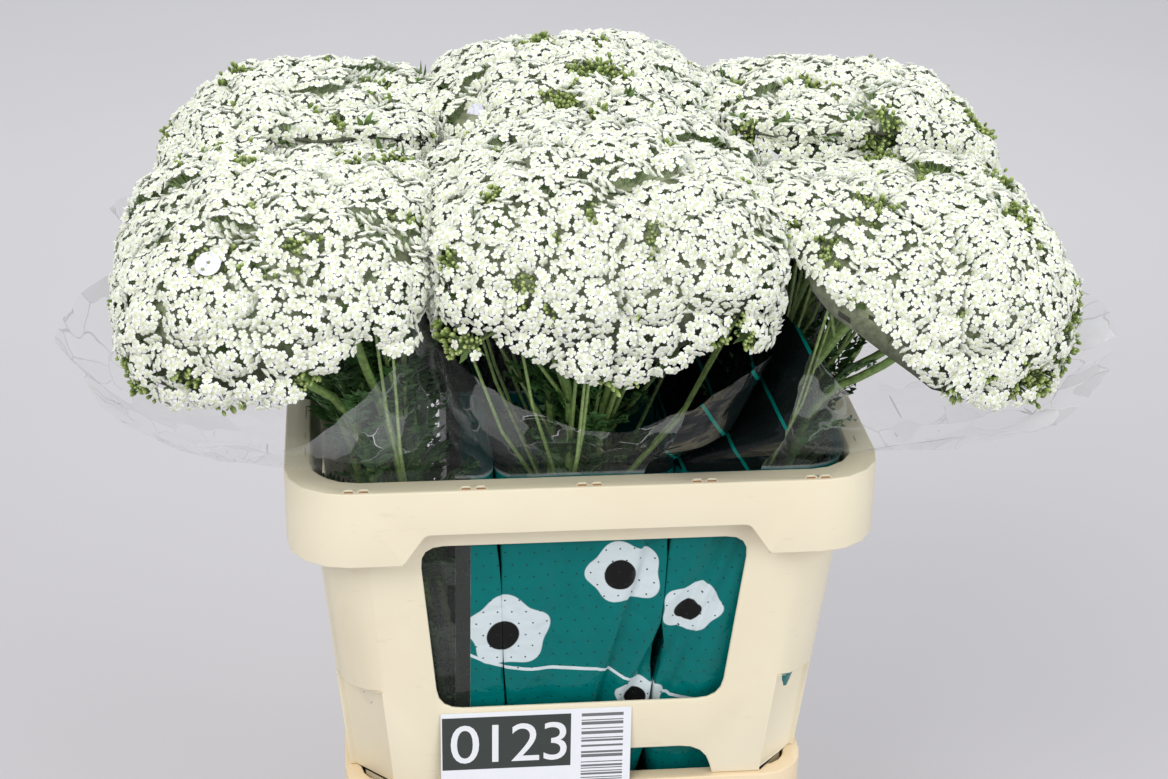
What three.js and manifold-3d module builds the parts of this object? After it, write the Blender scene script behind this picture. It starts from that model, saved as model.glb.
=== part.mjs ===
// Cut white yarrow as it stands at market: six sleeved bunches in a bucket of water, with a
// stacking collar on the bucket that holds the heads up and apart, and a paper lot card.
// Millimetres, +Z up. The origin is the middle of the bucket's underside; the front faces -Y.
import * as THREE from "three";
import { mergeVertices } from "three/addons/utils/BufferGeometryUtils.js";
import Module from "manifold-3d";

const wasm = await Module();
wasm.setup();

// Clearances: between pieces that rest on each other, and of a cutter past the face it cuts
const TOUCH = 0.3;
const PAST = 1;

// The bucket: a plain tapered pail with a turned-down rim
const BUCKET = {
  height: 300, rimX: 179, rimY: 129, rimCorner: 34, ledge: 13, rimSkirt: 38,
  footX: 150, footY: 100, footCorner: 26, wall: 3, floor: 4,
};

// The collar: a tapered ring with a wide skirted rim, a window in each long side, an arch below
// it, and a hand slot in each short side. Heights are from its own lower edge.
const COLLAR = {
  height: 275, rimX: 215, rimY: 165, rimCorner: 45, ledge: 15.4, wall: 3,
  footX: 175, footY: 125, corner: 38, chamfer: 33, chamferHeight: 91.6, step: 4.5,
  skirtDeep: 59, skirtShallow: 35, skirtBreakLow: 83, skirtBreakHigh: 99,
  windowLow: 73, windowHigh: 220, windowHalfLow: 107, windowHalfHigh: 120.5, windowCorner: 18,
  archHalf: 99.6, archHeight: 27.7, slotHalf: 50, slotLow: 178, slotHigh: 204,
  tabWidth: 24, tabDrop: 16, tabThick: 2.2, tabInset: 0.4,
};
const COLLAR_BASE = BUCKET.height + TOUCH;
const COLLAR_TOP = COLLAR_BASE + COLLAR.height;

// Pairs of small lugs along the long edges of the collar's rim
const LUG = { pitch: 82, pairs: 5, apart: 10.5, length: 7, depth: 2.6, height: 1.6, inset: 5.2 };

const CARD = { width: 145, height: 103, thick: 0.5, left: -106, top: 69 };
const STICKER = { radius: 8.5, thick: 0.4, drop: 8 };
const WATER_DEPTH = 60;

// The bunches. Each one's head is a dome over a rounded rectangle: its middle, its half widths,
// the level of its outer edge above the collar's lower edge, and its height from there.
const BUNCHES = [
  { name: "front_left", column: -1, row: -1, x: -222, y: -112, halfX: 105, halfY: 109, edge: 362, rise: 128 },
  { name: "front_middle", column: 0, row: -1, x: 10, y: -112, halfX: 122, halfY: 109, edge: 368, rise: 146 },
  { name: "front_right", column: 1, row: -1, x: 243, y: -107, halfX: 106, halfY: 104, edge: 344, rise: 132 },
  { name: "back_left", column: -1, row: 1, x: -204, y: 108, halfX: 104, halfY: 105, edge: 378, rise: 122 },
  { name: "back_middle", column: 0, row: 1, x: 10, y: 113, halfX: 106, halfY: 110, edge: 392, rise: 128 },
  { name: "back_right", column: 1, row: 1, x: 229, y: 107, halfX: 109, halfY: 104, edge: 370, rise: 130 },
];

// A head's dome. Its plan is a superellipse. On its free sides it reaches its full width at
// the equator, a share of its rise, and tucks in below; where it meets its neighbours it only
// sags a little. The plates are a share of the way to the head's focus thick.
const DOME = {
  square: 2.8, end: 2.0, equator: 0.38, sag: 0.32, sagPower: 2.2, blend: 1.5, shell: 0.13, focusDrop: 70,
  bump: 0.018,
};
// Seven flower plates to a head: one in the middle and six in a ring
const RING = 6;
const PLATE = { middle: 0.26, ringGap: 0.007, sideGap: 0.9, across: 3, along: 3, middleSides: 12 };

// A stem is round and thickest at its foot. The seven stems of a bunch stand close in the
// bucket, are tied by a band, spread towards the rim and lean out to their plates.
const STEM = { foot: 3.6, band: 3.4, rim: 3.1, top: 2.3, sides: 5, steps: 6, fork: 0.42, shift: 0.17 };
const RAY = { radius: 1.2, sides: 3, count: 2, reach: 0.56, first: 0.1, apart: 0.2 };
const LEVELS = {
  foot: BUCKET.floor + TOUCH, sleeveFoot: 92, band: 130, low: 215, bucketRim: BUCKET.height,
  window: COLLAR_BASE + 150, rim: COLLAR_TOP,
};
const AXIS = [
  // Where the middle of a bunch stands at a level: the pitch of the columns and the rows
  { z: LEVELS.foot, x: 98, y: 51 },
  { z: LEVELS.band, x: 99, y: 52 },
  { z: LEVELS.bucketRim, x: 105.5, y: 54 },
  { z: LEVELS.rim, x: 131, y: 73 },
];
const STEM_SPREAD = { foot: 11.5, band: 8.2, bucketRim: 22, rim: 21 };
const BAND = { height: 6, thick: 1.4, sides: 10 };

// The sleeves: film cones that are gathered under the band and open upwards to the heads.
// The film is modelled thicker than the real 0.04 mm, so that it is a closed solid.
const SLEEVE = {
  thick: 0.8, points: 12, square: 3, neck: 13.6,
  flareLow: { z: COLLAR_TOP + 14, share: 0.16 },
  flareMiddle: { z: COLLAR_TOP + 42, share: 0.64 },
  underHead: 13, clear: 1.5, wing: 25, wingRise: 42,
};

const CREAM = new THREE.MeshStandardMaterial({ color: 0xece3c8, roughness: 0.42, metalness: 0 });
const PEACH = new THREE.MeshStandardMaterial({ color: 0xeed9b8, roughness: 0.45, metalness: 0 });
const PAPER = new THREE.MeshStandardMaterial({ color: 0xf2f3f5, roughness: 0.6, metalness: 0 });
const FILM = new THREE.MeshStandardMaterial({
  color: 0xe6efec, roughness: 0.12, metalness: 0, transparent: true, opacity: 0.35,
});
const PLANT = new THREE.MeshStandardMaterial({ color: 0xdfe5cf, roughness: 0.7, metalness: 0 });
const RUBBER = new THREE.MeshStandardMaterial({ color: 0xb98f5a, roughness: 0.8, metalness: 0 });
const LIQUID = new THREE.MeshStandardMaterial({
  color: 0xbfd0cc, roughness: 0.05, metalness: 0, transparent: true, opacity: 0.5,
});

const part = new THREE.Group();
const place = (name, solid, material) => {
  const mesh = new THREE.Mesh(geometryOf(solid), material);
  mesh.name = name;
  part.add(mesh);
};

// Solids and geometry
function solidOf(geometry) {
  const bare = geometry.index ? geometry.toNonIndexed() : geometry.clone();
  for (const name of Object.keys(bare.attributes)) if (name !== "position") bare.deleteAttribute(name);
  const merged = mergeVertices(bare, 1e-3);
  return new wasm.Manifold(new wasm.Mesh({
    numProp: 3,
    vertProperties: merged.attributes.position.array,
    triVerts: new Uint32Array(merged.index.array),
  }));
}

function geometryOf(solid) {
  const mesh = solid.getMesh();
  const geometry = new THREE.BufferGeometry();
  geometry.setAttribute("position", new THREE.BufferAttribute(new Float32Array(mesh.vertProperties), 3));
  geometry.setIndex(new THREE.BufferAttribute(new Uint32Array(mesh.triVerts), 1));
  geometry.computeVertexNormals();
  return geometry;
}

const add = (...solids) => solids.reduce((sum, next) => sum.add(next));
const cut = (solid, ...cutters) => cutters.reduce((rest, next) => rest.subtract(next), solid);

// A closed skin through rings of points that run anticlockwise seen from above, lowest ring
// first. With loop, the last ring joins the first, which makes a tube-like wall: its second half
// is the inner skin, with each square split the same way as the outer one.
function loft(rings, loop = false) {
  const count = rings[0].length;
  const positions = rings.flat().flatMap((p) => [p.x, p.y, p.z]);
  const faces = [];
  const last = loop ? rings.length : rings.length - 1;
  for (let r = 0; r < last; r += 1) {
    const low = r * count;
    const high = ((r + 1) % rings.length) * count;
    for (let i = 0; i < count; i += 1) {
      const j = (i + 1) % count;
      if (loop && r >= last / 2) faces.push(low + i, low + j, high + i, low + j, high + j, high + i);
      else faces.push(low + i, low + j, high + j, low + i, high + j, high + i);
    }
  }
  if (!loop) {
    const top = (rings.length - 1) * count;
    for (let i = 1; i < count - 1; i += 1) {
      faces.push(0, i + 1, i, top, top + i, top + i + 1);
    }
  }
  const geometry = new THREE.BufferGeometry();
  geometry.setAttribute("position", new THREE.BufferAttribute(new Float32Array(positions), 3));
  geometry.setIndex(faces);
  return solidOf(geometry);
}

// A closed slab between two grids of points: its upper skin, its lower skin and four edges
function slab(upper, lower) {
  const rows = upper.length;
  const columns = upper[0].length;
  const half = rows * columns;
  const faces = [];
  const quad = (a, b, c, d) => faces.push(a, b, c, a, c, d);
  const at = (i, j, under) => (under ? half : 0) + i * columns + j;
  for (let i = 0; i < rows - 1; i += 1) {
    for (let j = 0; j < columns - 1; j += 1) {
      quad(at(i, j), at(i, j + 1), at(i + 1, j + 1), at(i + 1, j));
      quad(at(i, j, 1), at(i + 1, j, 1), at(i + 1, j + 1, 1), at(i, j + 1, 1));
    }
  }
  const last = [rows - 1, columns - 1];
  for (let j = 0; j < last[1]; j += 1) {
    quad(at(0, j), at(0, j, 1), at(0, j + 1, 1), at(0, j + 1));
    quad(at(last[0], j + 1), at(last[0], j + 1, 1), at(last[0], j, 1), at(last[0], j));
  }
  for (let i = 0; i < last[0]; i += 1) {
    quad(at(i + 1, 0), at(i + 1, 0, 1), at(i, 0, 1), at(i, 0));
    quad(at(i, last[1]), at(i, last[1], 1), at(i + 1, last[1], 1), at(i + 1, last[1]));
  }
  const geometry = new THREE.BufferGeometry();
  const positions = [...upper.flat(), ...lower.flat()].flatMap((p) => [p.x, p.y, p.z]);
  geometry.setAttribute("position", new THREE.BufferAttribute(new Float32Array(positions), 3));
  geometry.setIndex(faces);
  return solidOf(geometry);
}

// Outlines, anticlockwise from above
function roundedOutline(halfX, halfY, corner, z, steps = 4) {
  const points = [];
  const quarters = [[1, -1, -Math.PI / 2], [1, 1, 0], [-1, 1, Math.PI / 2], [-1, -1, Math.PI]];
  for (const [sx, sy, start] of quarters) {
    for (let i = 0; i <= steps; i += 1) {
      const a = start + (Math.PI / 2) * (i / steps);
      const x = sx * (halfX - corner) + corner * Math.cos(a);
      const y = sy * (halfY - corner) + corner * Math.sin(a);
      points.push(new THREE.Vector3(x, y, z));
    }
  }
  return points;
}

// The outline with its corners cut off along a line, which is set in by a small step
function chamferedOutline(halfX, halfY, chamfer, step, z) {
  const corner = [
    [halfX, halfY - chamfer], [halfX - step, halfY - chamfer - step * 0.3],
    [halfX - chamfer - step * 0.3, halfY - step], [halfX - chamfer, halfY],
  ];
  const points = [];
  for (const [sx, sy] of [[1, -1], [1, 1], [-1, 1], [-1, -1]]) {
    const ordered = sx * sy > 0 ? corner : corner.slice().reverse();
    for (const [x, y] of ordered) points.push(new THREE.Vector3(sx * x, sy * y, z));
  }
  return points;
}

function box(lowX, highX, lowY, highY, lowZ, highZ) {
  const geometry = new THREE.BoxGeometry(highX - lowX, highY - lowY, highZ - lowZ);
  geometry.translate((lowX + highX) / 2, (lowY + highY) / 2, (lowZ + highZ) / 2);
  return solidOf(geometry);
}

// A cutter whose outline is drawn in the X-Z plane and that runs right through along Y
function throughY(shape, halfLength) {
  const geometry = new THREE.ExtrudeGeometry(shape, { depth: 2 * halfLength, bevelEnabled: false, curveSegments: 4 });
  geometry.rotateX(Math.PI / 2);
  geometry.translate(0, halfLength, 0);
  return solidOf(geometry);
}

// A trapezoid with level edges and round corners: half widths at its low and high edges
function trapezoid(halfLow, halfHigh, low, high, corner) {
  const ends = [[halfLow, low], [halfHigh, high], [-halfHigh, high], [-halfLow, low]]
    .map(([x, z]) => new THREE.Vector2(x, z));
  const shape = new THREE.Shape();
  ends.forEach((end, i) => {
    const before = ends[(i + 3) % 4];
    const after = ends[(i + 1) % 4];
    const into = end.clone().add(before.clone().sub(end).setLength(corner));
    const out = end.clone().add(after.clone().sub(end).setLength(corner));
    if (i === 0) shape.moveTo(into.x, into.y);
    else shape.lineTo(into.x, into.y);
    shape.quadraticCurveTo(end.x, end.y, out.x, out.y);
  });
  shape.closePath();
  return shape;
}

// The rim's turned-down skirt, one wall thick
function skirt(halfX, halfY, corner, low, high, wall) {
  const outer = loft([roundedOutline(halfX, halfY, corner, low), roundedOutline(halfX, halfY, corner, high)]);
  const inner = loft([
    roundedOutline(halfX - wall, halfY - wall, corner - wall, low - PAST),
    roundedOutline(halfX - wall, halfY - wall, corner - wall, high + PAST),
  ]);
  return cut(outer, inner);
}

// Pairs of lugs along both long edges of a rim
function lugs(pairs, rimY, top) {
  const made = [];
  for (const side of [-1, 1]) {
    for (let i = 0; i < pairs; i += 1) {
      const middle = (i - (pairs - 1) / 2) * LUG.pitch;
      for (const offset of [-LUG.apart / 2, LUG.apart / 2]) {
        const x = middle + offset;
        const y = side * (rimY - LUG.inset);
        made.push(box(x - LUG.length / 2, x + LUG.length / 2, y - LUG.depth / 2, y + LUG.depth / 2,
          top - PAST, top + LUG.height));
      }
    }
  }
  return made;
}

function bucket() {
  const { height, rimX, rimY, rimCorner, ledge, rimSkirt, footX, footY, footCorner, wall, floor } = BUCKET;
  const neckX = rimX - ledge + wall;
  const neckY = rimY - ledge + wall;
  const neckCorner = rimCorner - ledge + wall;
  const outer = loft([
    roundedOutline(footX, footY, footCorner, 0),
    roundedOutline(neckX, neckY, neckCorner, height),
  ]);
  const plate = loft([
    roundedOutline(rimX, rimY, rimCorner, height - wall),
    roundedOutline(rimX, rimY, rimCorner, height),
  ]);
  const inside = loft([
    roundedOutline(footX - wall, footY - wall, footCorner - wall, floor),
    roundedOutline(neckX - wall, neckY - wall, neckCorner - wall, height + PAST),
  ]);
  const rim = skirt(rimX, rimY, rimCorner, height - rimSkirt, height, wall);
  return cut(add(outer, plate, rim), inside);
}

// The collar's half widths at a height above its lower edge
function collarHalf(height) {
  const draft = (COLLAR.rimX - COLLAR.ledge - COLLAR.footX) / COLLAR.height;
  return [COLLAR.footX + draft * height, COLLAR.footY + draft * height];
}

function collar() {
  const { height, rimX, rimY, rimCorner, wall, corner, chamfer, chamferHeight, step } = COLLAR;
  const at = (h, inset) => collarHalf(h).map((half) => half - inset);
  const rounded = (h, inset) => roundedOutline(...at(h, inset), corner - inset, COLLAR_BASE + h);
  const chamfered = (h, inset) => chamferedOutline(...at(h, inset), chamfer + inset * 0.4, step, COLLAR_BASE + h);
  const body = add(
    loft([chamfered(0, 0), chamfered(chamferHeight, 0)]),
    loft([rounded(chamferHeight, 0), rounded(height, 0)]),
    loft([
      roundedOutline(rimX, rimY, rimCorner, COLLAR_TOP - wall),
      roundedOutline(rimX, rimY, rimCorner, COLLAR_TOP),
    ]),
    skirtWithBreaks(),
    ...cornerTabs(),
    ...lugs(LUG.pairs, rimY, COLLAR_TOP),
  );
  const hollow = add(
    loft([chamfered(-PAST, wall), chamfered(chamferHeight + wall, wall)]),
    loft([rounded(chamferHeight + wall, wall), rounded(height + PAST, wall)]),
  );
  const window = trapezoid(COLLAR.windowHalfLow, COLLAR.windowHalfHigh,
    COLLAR_BASE + COLLAR.windowLow, COLLAR_BASE + COLLAR.windowHigh, COLLAR.windowCorner);
  const arch = trapezoid(COLLAR.archHalf + 12, COLLAR.archHalf - 2, COLLAR_BASE - 30,
    COLLAR_BASE + COLLAR.archHeight, 20);
  const slot = trapezoid(COLLAR.slotHalf, COLLAR.slotHalf, COLLAR_BASE + COLLAR.slotLow,
    COLLAR_BASE + COLLAR.slotHigh, 12);
  return cut(body, cut(hollow, ...tabKeepers()), throughY(window, rimY), throughY(arch, rimY),
    throughY(slot, rimX + PAST).rotate([0, 0, 90]));
}

// The collar's skirt is deep at the corners and shallow over the windows
function skirtWithBreaks() {
  const { rimX, rimY, rimCorner, wall, skirtDeep, skirtShallow, skirtBreakLow, skirtBreakHigh } = COLLAR;
  const low = COLLAR_TOP - skirtDeep;
  const high = COLLAR_TOP - skirtShallow;
  const slope = (skirtBreakHigh - skirtBreakLow) / (high - low);
  const breakShape = (half) => trapezoid(
    half - skirtBreakLow + slope * PAST, half - skirtBreakHigh, low - PAST, high, 4);
  return cut(
    skirt(rimX, rimY, rimCorner, low, COLLAR_TOP, wall),
    throughY(breakShape(rimX), rimY + PAST),
    throughY(breakShape(rimY), rimX + PAST).rotate([0, 0, 90]),
  );
}

// A tab at each chamfered corner drops inside the bucket's rim and locates the collar
function cornerTabs() {
  const { footX, footY, chamfer, step, tabWidth, tabDrop, tabThick, tabInset } = COLLAR;
  const reach = (footX + footY - chamfer - step * 1.3) / Math.SQRT2 - tabInset;
  const along = (footX - footY) / 2;
  return [[1, 1], [-1, 1], [-1, -1], [1, -1]].map(([sx, sy]) => {
    const middle = reach / Math.SQRT2;
    const geometry = new THREE.BoxGeometry(tabThick, tabWidth, tabDrop + PAST);
    geometry.translate(-tabThick / 2, 0, (PAST - tabDrop) / 2);
    geometry.rotateZ(Math.atan2(sy, sx));
    geometry.translate(sx * (middle + along), sy * (middle - along), COLLAR_BASE);
    return solidOf(geometry);
  });
}

// What the hollow's cutter leaves of the tabs where it reaches below the collar's edge
function tabKeepers() {
  return [box(-COLLAR.rimX, COLLAR.rimX, -COLLAR.rimY, COLLAR.rimY, COLLAR_BASE - 2 * PAST, COLLAR_BASE)];
}

function card() {
  const back = -(collarHalf(CARD.top)[1] + TOUCH);
  const top = COLLAR_BASE + CARD.top;
  return box(CARD.left, CARD.left + CARD.width, back - CARD.thick, back, top - CARD.height, top);
}

// A head's outline and dome
const inward = (bunch, angle) => {
  const towards = -Math.sin(angle) * bunch.row;
  const sideways = -Math.cos(angle) * bunch.column;
  const between = bunch.column === 0 ? Math.abs(Math.cos(angle)) * 0.7 : Math.max(0, sideways);
  return Math.min(1, Math.hypot(Math.max(0, towards), between));
};

function planRadius(bunch, angle, square) {
  const c = Math.abs(Math.cos(angle) / bunch.halfX) ** square;
  const s = Math.abs(Math.sin(angle) / bunch.halfY) ** square;
  return (c + s) ** (-1 / square);
}

function domePoint(bunch, share, angle) {
  const met = inward(bunch, angle) ** DOME.blend;
  const turn = share * DOME.end;
  const equator = DOME.equator * bunch.rise;
  const freeLevel = turn < Math.PI / 2
    ? equator + (bunch.rise - equator) * Math.cos(turn)
    : equator * (1 - Math.cos(turn) / Math.cos(DOME.end));
  const metLevel = bunch.rise * (1 - DOME.sag * share ** DOME.sagPower);
  const level = freeLevel + met * (metLevel - freeLevel);
  const width = Math.sin(turn) + met * (Math.sin((share * Math.PI) / 2) - Math.sin(turn));
  const reach = width * planRadius(bunch, angle, DOME.square);
  return new THREE.Vector3(
    bunch.x + reach * Math.cos(angle),
    bunch.y + reach * Math.sin(angle),
    COLLAR_BASE + bunch.edge + level,
  );
}

const focusOf = (bunch) => new THREE.Vector3(bunch.x, bunch.y, COLLAR_BASE + bunch.edge - DOME.focusDrop);

function shellPoint(bunch, share, angle, depth) {
  const focus = focusOf(bunch);
  return domePoint(bunch, share, angle).sub(focus).multiplyScalar(1 - depth).add(focus);
}

// How much deeper or higher than the dome one plate of a head stands
const bumpOf = (bunch, index) => DOME.bump * Math.sin(2.4 * index + 1.7 * bunch.column + 0.9 * bunch.row);

// The middle plate of a head
function middlePlate(bunch) {
  const rings = [];
  const turn = (k) => (2 * Math.PI * k) / PLATE.middleSides;
  const ringAt = (share, depth) => Array.from({ length: PLATE.middleSides },
    (_, k) => shellPoint(bunch, share, turn(k), depth));
  const edge = PLATE.middle - PLATE.ringGap;
  const top = bumpOf(bunch, 0);
  rings.push(ringAt(0.04, top + DOME.shell), ringAt(edge, top + DOME.shell), ringAt(edge, top),
    ringAt(edge * 0.55, top), ringAt(0.04, top));
  return loft(rings);
}

// One of the ring of plates: a patch of the dome between two angles
function ringPlate(bunch, index) {
  const { across, along } = PLATE;
  const start = (2 * Math.PI * (index - 0.5)) / RING;
  const end = (2 * Math.PI * (index + 0.5)) / RING;
  const low = PLATE.middle + PLATE.ringGap;
  const top = bumpOf(bunch, index + 1);
  const skin = (depth) => Array.from({ length: across + 1 }, (_, i) =>
    Array.from({ length: along + 1 }, (__, j) => {
      const share = low + (1 - low) * (j / along);
      const gap = PLATE.sideGap / (Math.sin(share * DOME.end) * bunch.halfX);
      const angle = start + gap + (end - start - 2 * gap) * (i / across);
      return shellPoint(bunch, share, angle, depth);
    }));
  return slab(skin(top), skin(top + DOME.shell));
}

// The middle of a bunch at a level, and a stem's place there
function along(levels, z) {
  const above = levels.findIndex((level) => level.z >= z);
  const high = above < 0 ? levels.length - 1 : Math.max(1, above);
  const share = Math.min(1, (z - levels[high - 1].z) / (levels[high].z - levels[high - 1].z));
  const mix = (key) => levels[high - 1][key] + share * (levels[high][key] - levels[high - 1][key]);
  return { x: mix("x"), y: mix("y") };
}

function axisAt(bunch, z) {
  const pitch = along(AXIS, z);
  return new THREE.Vector3(bunch.column * pitch.x, bunch.row * pitch.y, z);
}

function stemPlace(bunch, index, z, spread) {
  const place = axisAt(bunch, z);
  if (index === 0) return place;
  const angle = (2 * Math.PI * (index - 1)) / RING;
  return place.add(new THREE.Vector3(spread * Math.cos(angle), spread * Math.sin(angle), 0));
}

// A round tapered rod along a curve
function rod(curve, radii, sides, steps) {
  const frames = curve.computeFrenetFrames(steps, false);
  const rings = [];
  for (let i = 0; i <= steps; i += 1) {
    const middle = curve.getPointAt(i / steps);
    const at = (i / steps) * (radii.length - 1);
    const k = Math.min(radii.length - 2, Math.floor(at));
    const radius = radii[k] + (at - k) * (radii[k + 1] - radii[k]);
    rings.push(Array.from({ length: sides }, (_, s) => {
      const a = (2 * Math.PI * s) / sides;
      return middle.clone()
        .addScaledVector(frames.normals[i], radius * Math.cos(a))
        .addScaledVector(frames.binormals[i], radius * Math.sin(a));
    }));
  }
  const solid = loft(rings);
  return solid.volume() < 0 ? loft(rings.map((ring) => ring.reverse())) : solid;
}

// Where a plate is held: the middle of its underside, and points that its rays reach
function plateHolds(bunch, index) {
  const depth = DOME.shell * 0.6;
  if (index === 0) {
    const spots = Array.from({ length: RAY.count }, (_, k) =>
      shellPoint(bunch, PLATE.middle * RAY.reach, (2 * Math.PI * (k + 0.5)) / RAY.count, depth));
    return { middle: shellPoint(bunch, 0.01, 0, depth), spots };
  }
  const angle = (2 * Math.PI * (index - 1)) / RING;
  const half = (Math.PI / RING) * RAY.reach;
  const share = (s) => PLATE.middle + (1 - PLATE.middle) * s;
  const spots = [[0.2, -half], [0.75, half]]
    .map(([s, turn]) => shellPoint(bunch, share(s), angle + turn, depth));
  return { middle: shellPoint(bunch, share(0.3), angle, depth), spots };
}

// One flowering stem: its stalk, the rays that fork from it, and its plate of flower heads
function stem(bunch, index) {
  const { middle, spots } = plateHolds(bunch, index);
  const rimPlace = stemPlace(bunch, index, LEVELS.rim, STEM_SPREAD.rim);
  const rimMiddle = axisAt(bunch, LEVELS.rim);
  rimPlace.x += STEM.shift * (bunch.x - rimMiddle.x);
  rimPlace.y += STEM.shift * (bunch.y - rimMiddle.y);
  const lean = middle.clone().sub(rimPlace);
  const fork = rimPlace.clone().addScaledVector(lean, STEM.fork);
  fork.z += lean.z * 0.06;
  const path = new THREE.CatmullRomCurve3([
    stemPlace(bunch, index, LEVELS.foot, STEM_SPREAD.foot),
    stemPlace(bunch, index, LEVELS.band, STEM_SPREAD.band),
    stemPlace(bunch, index, LEVELS.bucketRim, STEM_SPREAD.bucketRim),
    rimPlace,
    fork,
    middle,
  ], false, "centripetal");
  const stalk = rod(path, [STEM.foot, STEM.band, STEM.rim, STEM.rim, STEM.top], STEM.sides, STEM.steps);
  const foot = box(-BUCKET.rimX, BUCKET.rimX, -BUCKET.rimY, BUCKET.rimY, -STEM.foot, LEVELS.foot);
  const lastBend = path.getPointAt(1 - 1 / STEM.steps);
  const rays = spots.map((spot, k) => {
    const start = lastBend.clone().lerp(middle, RAY.first + RAY.apart * k);
    return rod(new THREE.LineCurve3(start, spot), [RAY.radius * 1.3, RAY.radius], RAY.sides, 1);
  });
  const plate = index === 0 ? middlePlate(bunch) : ringPlate(bunch, (index - 1));
  return add(cut(stalk, foot), plate, ...rays);
}

// The rubber band round a bunch's stems and the foot of its sleeve
function band(bunch) {
  const inner = (SLEEVE.neck + 2 * TOUCH) / Math.cos(Math.PI / BAND.sides);
  const profile = [
    [inner, -BAND.height / 2], [inner + BAND.thick, -BAND.height / 2],
    [inner + BAND.thick, BAND.height / 2], [inner, BAND.height / 2], [inner, -BAND.height / 2],
  ].map(([x, y]) => new THREE.Vector2(x, y));
  const geometry = new THREE.LatheGeometry(profile, BAND.sides);
  geometry.rotateX(Math.PI / 2);
  const middle = axisAt(bunch, LEVELS.band);
  geometry.translate(middle.x, middle.y, middle.z);
  return solidOf(geometry);
}

// A sleeve's outline at each level. Below the rim it is a rounded square round the bunch's
// middle; above it, it opens towards the outline of the head.
function sleeveRings(bunch, inset) {
  const { neck } = SLEEVE;
  const levels = [
    { z: LEVELS.sleeveFoot, halfX: neck + 6, halfY: neck + 6, square: 2 },
    { z: LEVELS.band - BAND.height, halfX: neck, halfY: neck, square: 2 },
    { z: LEVELS.band + BAND.height, halfX: neck, halfY: neck, square: 2 },
    { z: LEVELS.low, halfX: 39, halfY: 41, square: 2.4 },
    { z: LEVELS.bucketRim + 12, halfX: 49, halfY: 50, square: SLEEVE.square },
    { z: LEVELS.rim, halfX: 61, halfY: 66, square: SLEEVE.square },
  ];
  const turn = (k) => (2 * Math.PI * k) / SLEEVE.points;
  const turns = Array.from({ length: SLEEVE.points }, (_, k) => turn(k));
  const rings = levels.map(({ z, halfX, halfY, square }) => {
    const middle = axisAt(bunch, z);
    return turns.map((a) => {
      const reach = planRadius({ halfX: halfX - inset, halfY: halfY - inset }, a, square);
      return new THREE.Vector3(middle.x + reach * Math.cos(a), middle.y + reach * Math.sin(a), z);
    });
  });
  const rimRing = rings[rings.length - 1];
  const top = turns.map((a) => sleeveTop(bunch, a, inset));
  for (const { z, share } of [SLEEVE.flareLow, SLEEVE.flareMiddle]) {
    rings.push(rimRing.map((from, k) => new THREE.Vector3(
      from.x + share * (top[k].x - from.x), from.y + share * (top[k].y - from.y),
      Math.min(z, from.z + (0.35 + 0.65 * share) * (top[k].z - from.z)))));
  }
  rings.push(top);
  return rings;
}

// The sleeve's upper edge follows the head's outline a little below it. On the free ends of
// the rows it stands out like a wing and rises beside the head.
function sleeveTop(bunch, angle, inset) {
  const wing = Math.max(0, bunch.column * Math.cos(angle)) ** 2;
  const met = inward(bunch, angle);
  const low = Math.min(domePoint(bunch, 1, angle).z, shellPoint(bunch, 1, angle, DOME.shell + DOME.bump).z);
  const reach = planRadius(bunch, angle, DOME.square) + SLEEVE.clear * (1 - 2 * met) + SLEEVE.wing * wing - inset;
  return new THREE.Vector3(
    bunch.x + reach * Math.cos(angle),
    bunch.y + reach * Math.sin(angle),
    low - SLEEVE.underHead + SLEEVE.wingRise * wing,
  );
}

function sleeve(bunch) {
  const outer = sleeveRings(bunch, 0);
  const inner = sleeveRings(bunch, SLEEVE.thick);
  return loft([...outer, ...inner.reverse()], true);
}

// The water fills the bucket's foot round the stems
function water(stems) {
  const { footX, footY, footCorner, wall, floor, height, rimX, ledge } = BUCKET;
  const draft = (rimX - ledge - (footX - wall)) / (height - floor);
  const level = (z) => {
    const inset = wall + 2 * TOUCH - draft * (z - floor);
    return roundedOutline(footX - inset, footY - inset, footCorner - wall, z);
  };
  const low = floor + TOUCH;
  const slab = box(-footX, footX, -footY, footY, low, low + WATER_DEPTH);
  const holes = stems.map(({ bunch, index }) => {
    const { min, max } = stem(bunch, index).intersect(slab).boundingBox();
    return box(min[0] - 2 * TOUCH, max[0] + 2 * TOUCH, min[1] - 2 * TOUCH, max[1] + 2 * TOUCH, low - PAST,
      low + WATER_DEPTH + PAST);
  });
  return cut(loft([level(low), level(low + WATER_DEPTH)]), ...holes);
}

// A round sticker lies on one plate of a head: it is set down along the dome's normal until
// it all but touches
function sticker(bunch, index, share, angle) {
  const spot = domePoint(bunch, share, angle);
  const ahead = domePoint(bunch, share + 0.05, angle).sub(spot);
  const aside = domePoint(bunch, share, angle + 0.05).sub(spot);
  const up = ahead.cross(aside).normalize();
  const geometry = new THREE.CylinderGeometry(STICKER.radius, STICKER.radius, STICKER.thick, 20);
  geometry.rotateX(Math.PI / 2);
  geometry.applyQuaternion(new THREE.Quaternion().setFromUnitVectors(new THREE.Vector3(0, 0, 1), up));
  spot.addScaledVector(up, STICKER.drop);
  geometry.translate(spot.x, spot.y, spot.z);
  const disc = solidOf(geometry);
  const gap = disc.minGap(stem(bunch, index), 2 * STICKER.drop);
  return disc.translate(up.multiplyScalar(TOUCH - gap).toArray());
}

const stems = BUNCHES.flatMap((bunch) => Array.from({ length: RING + 1 }, (_, index) => ({ bunch, index })));

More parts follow.
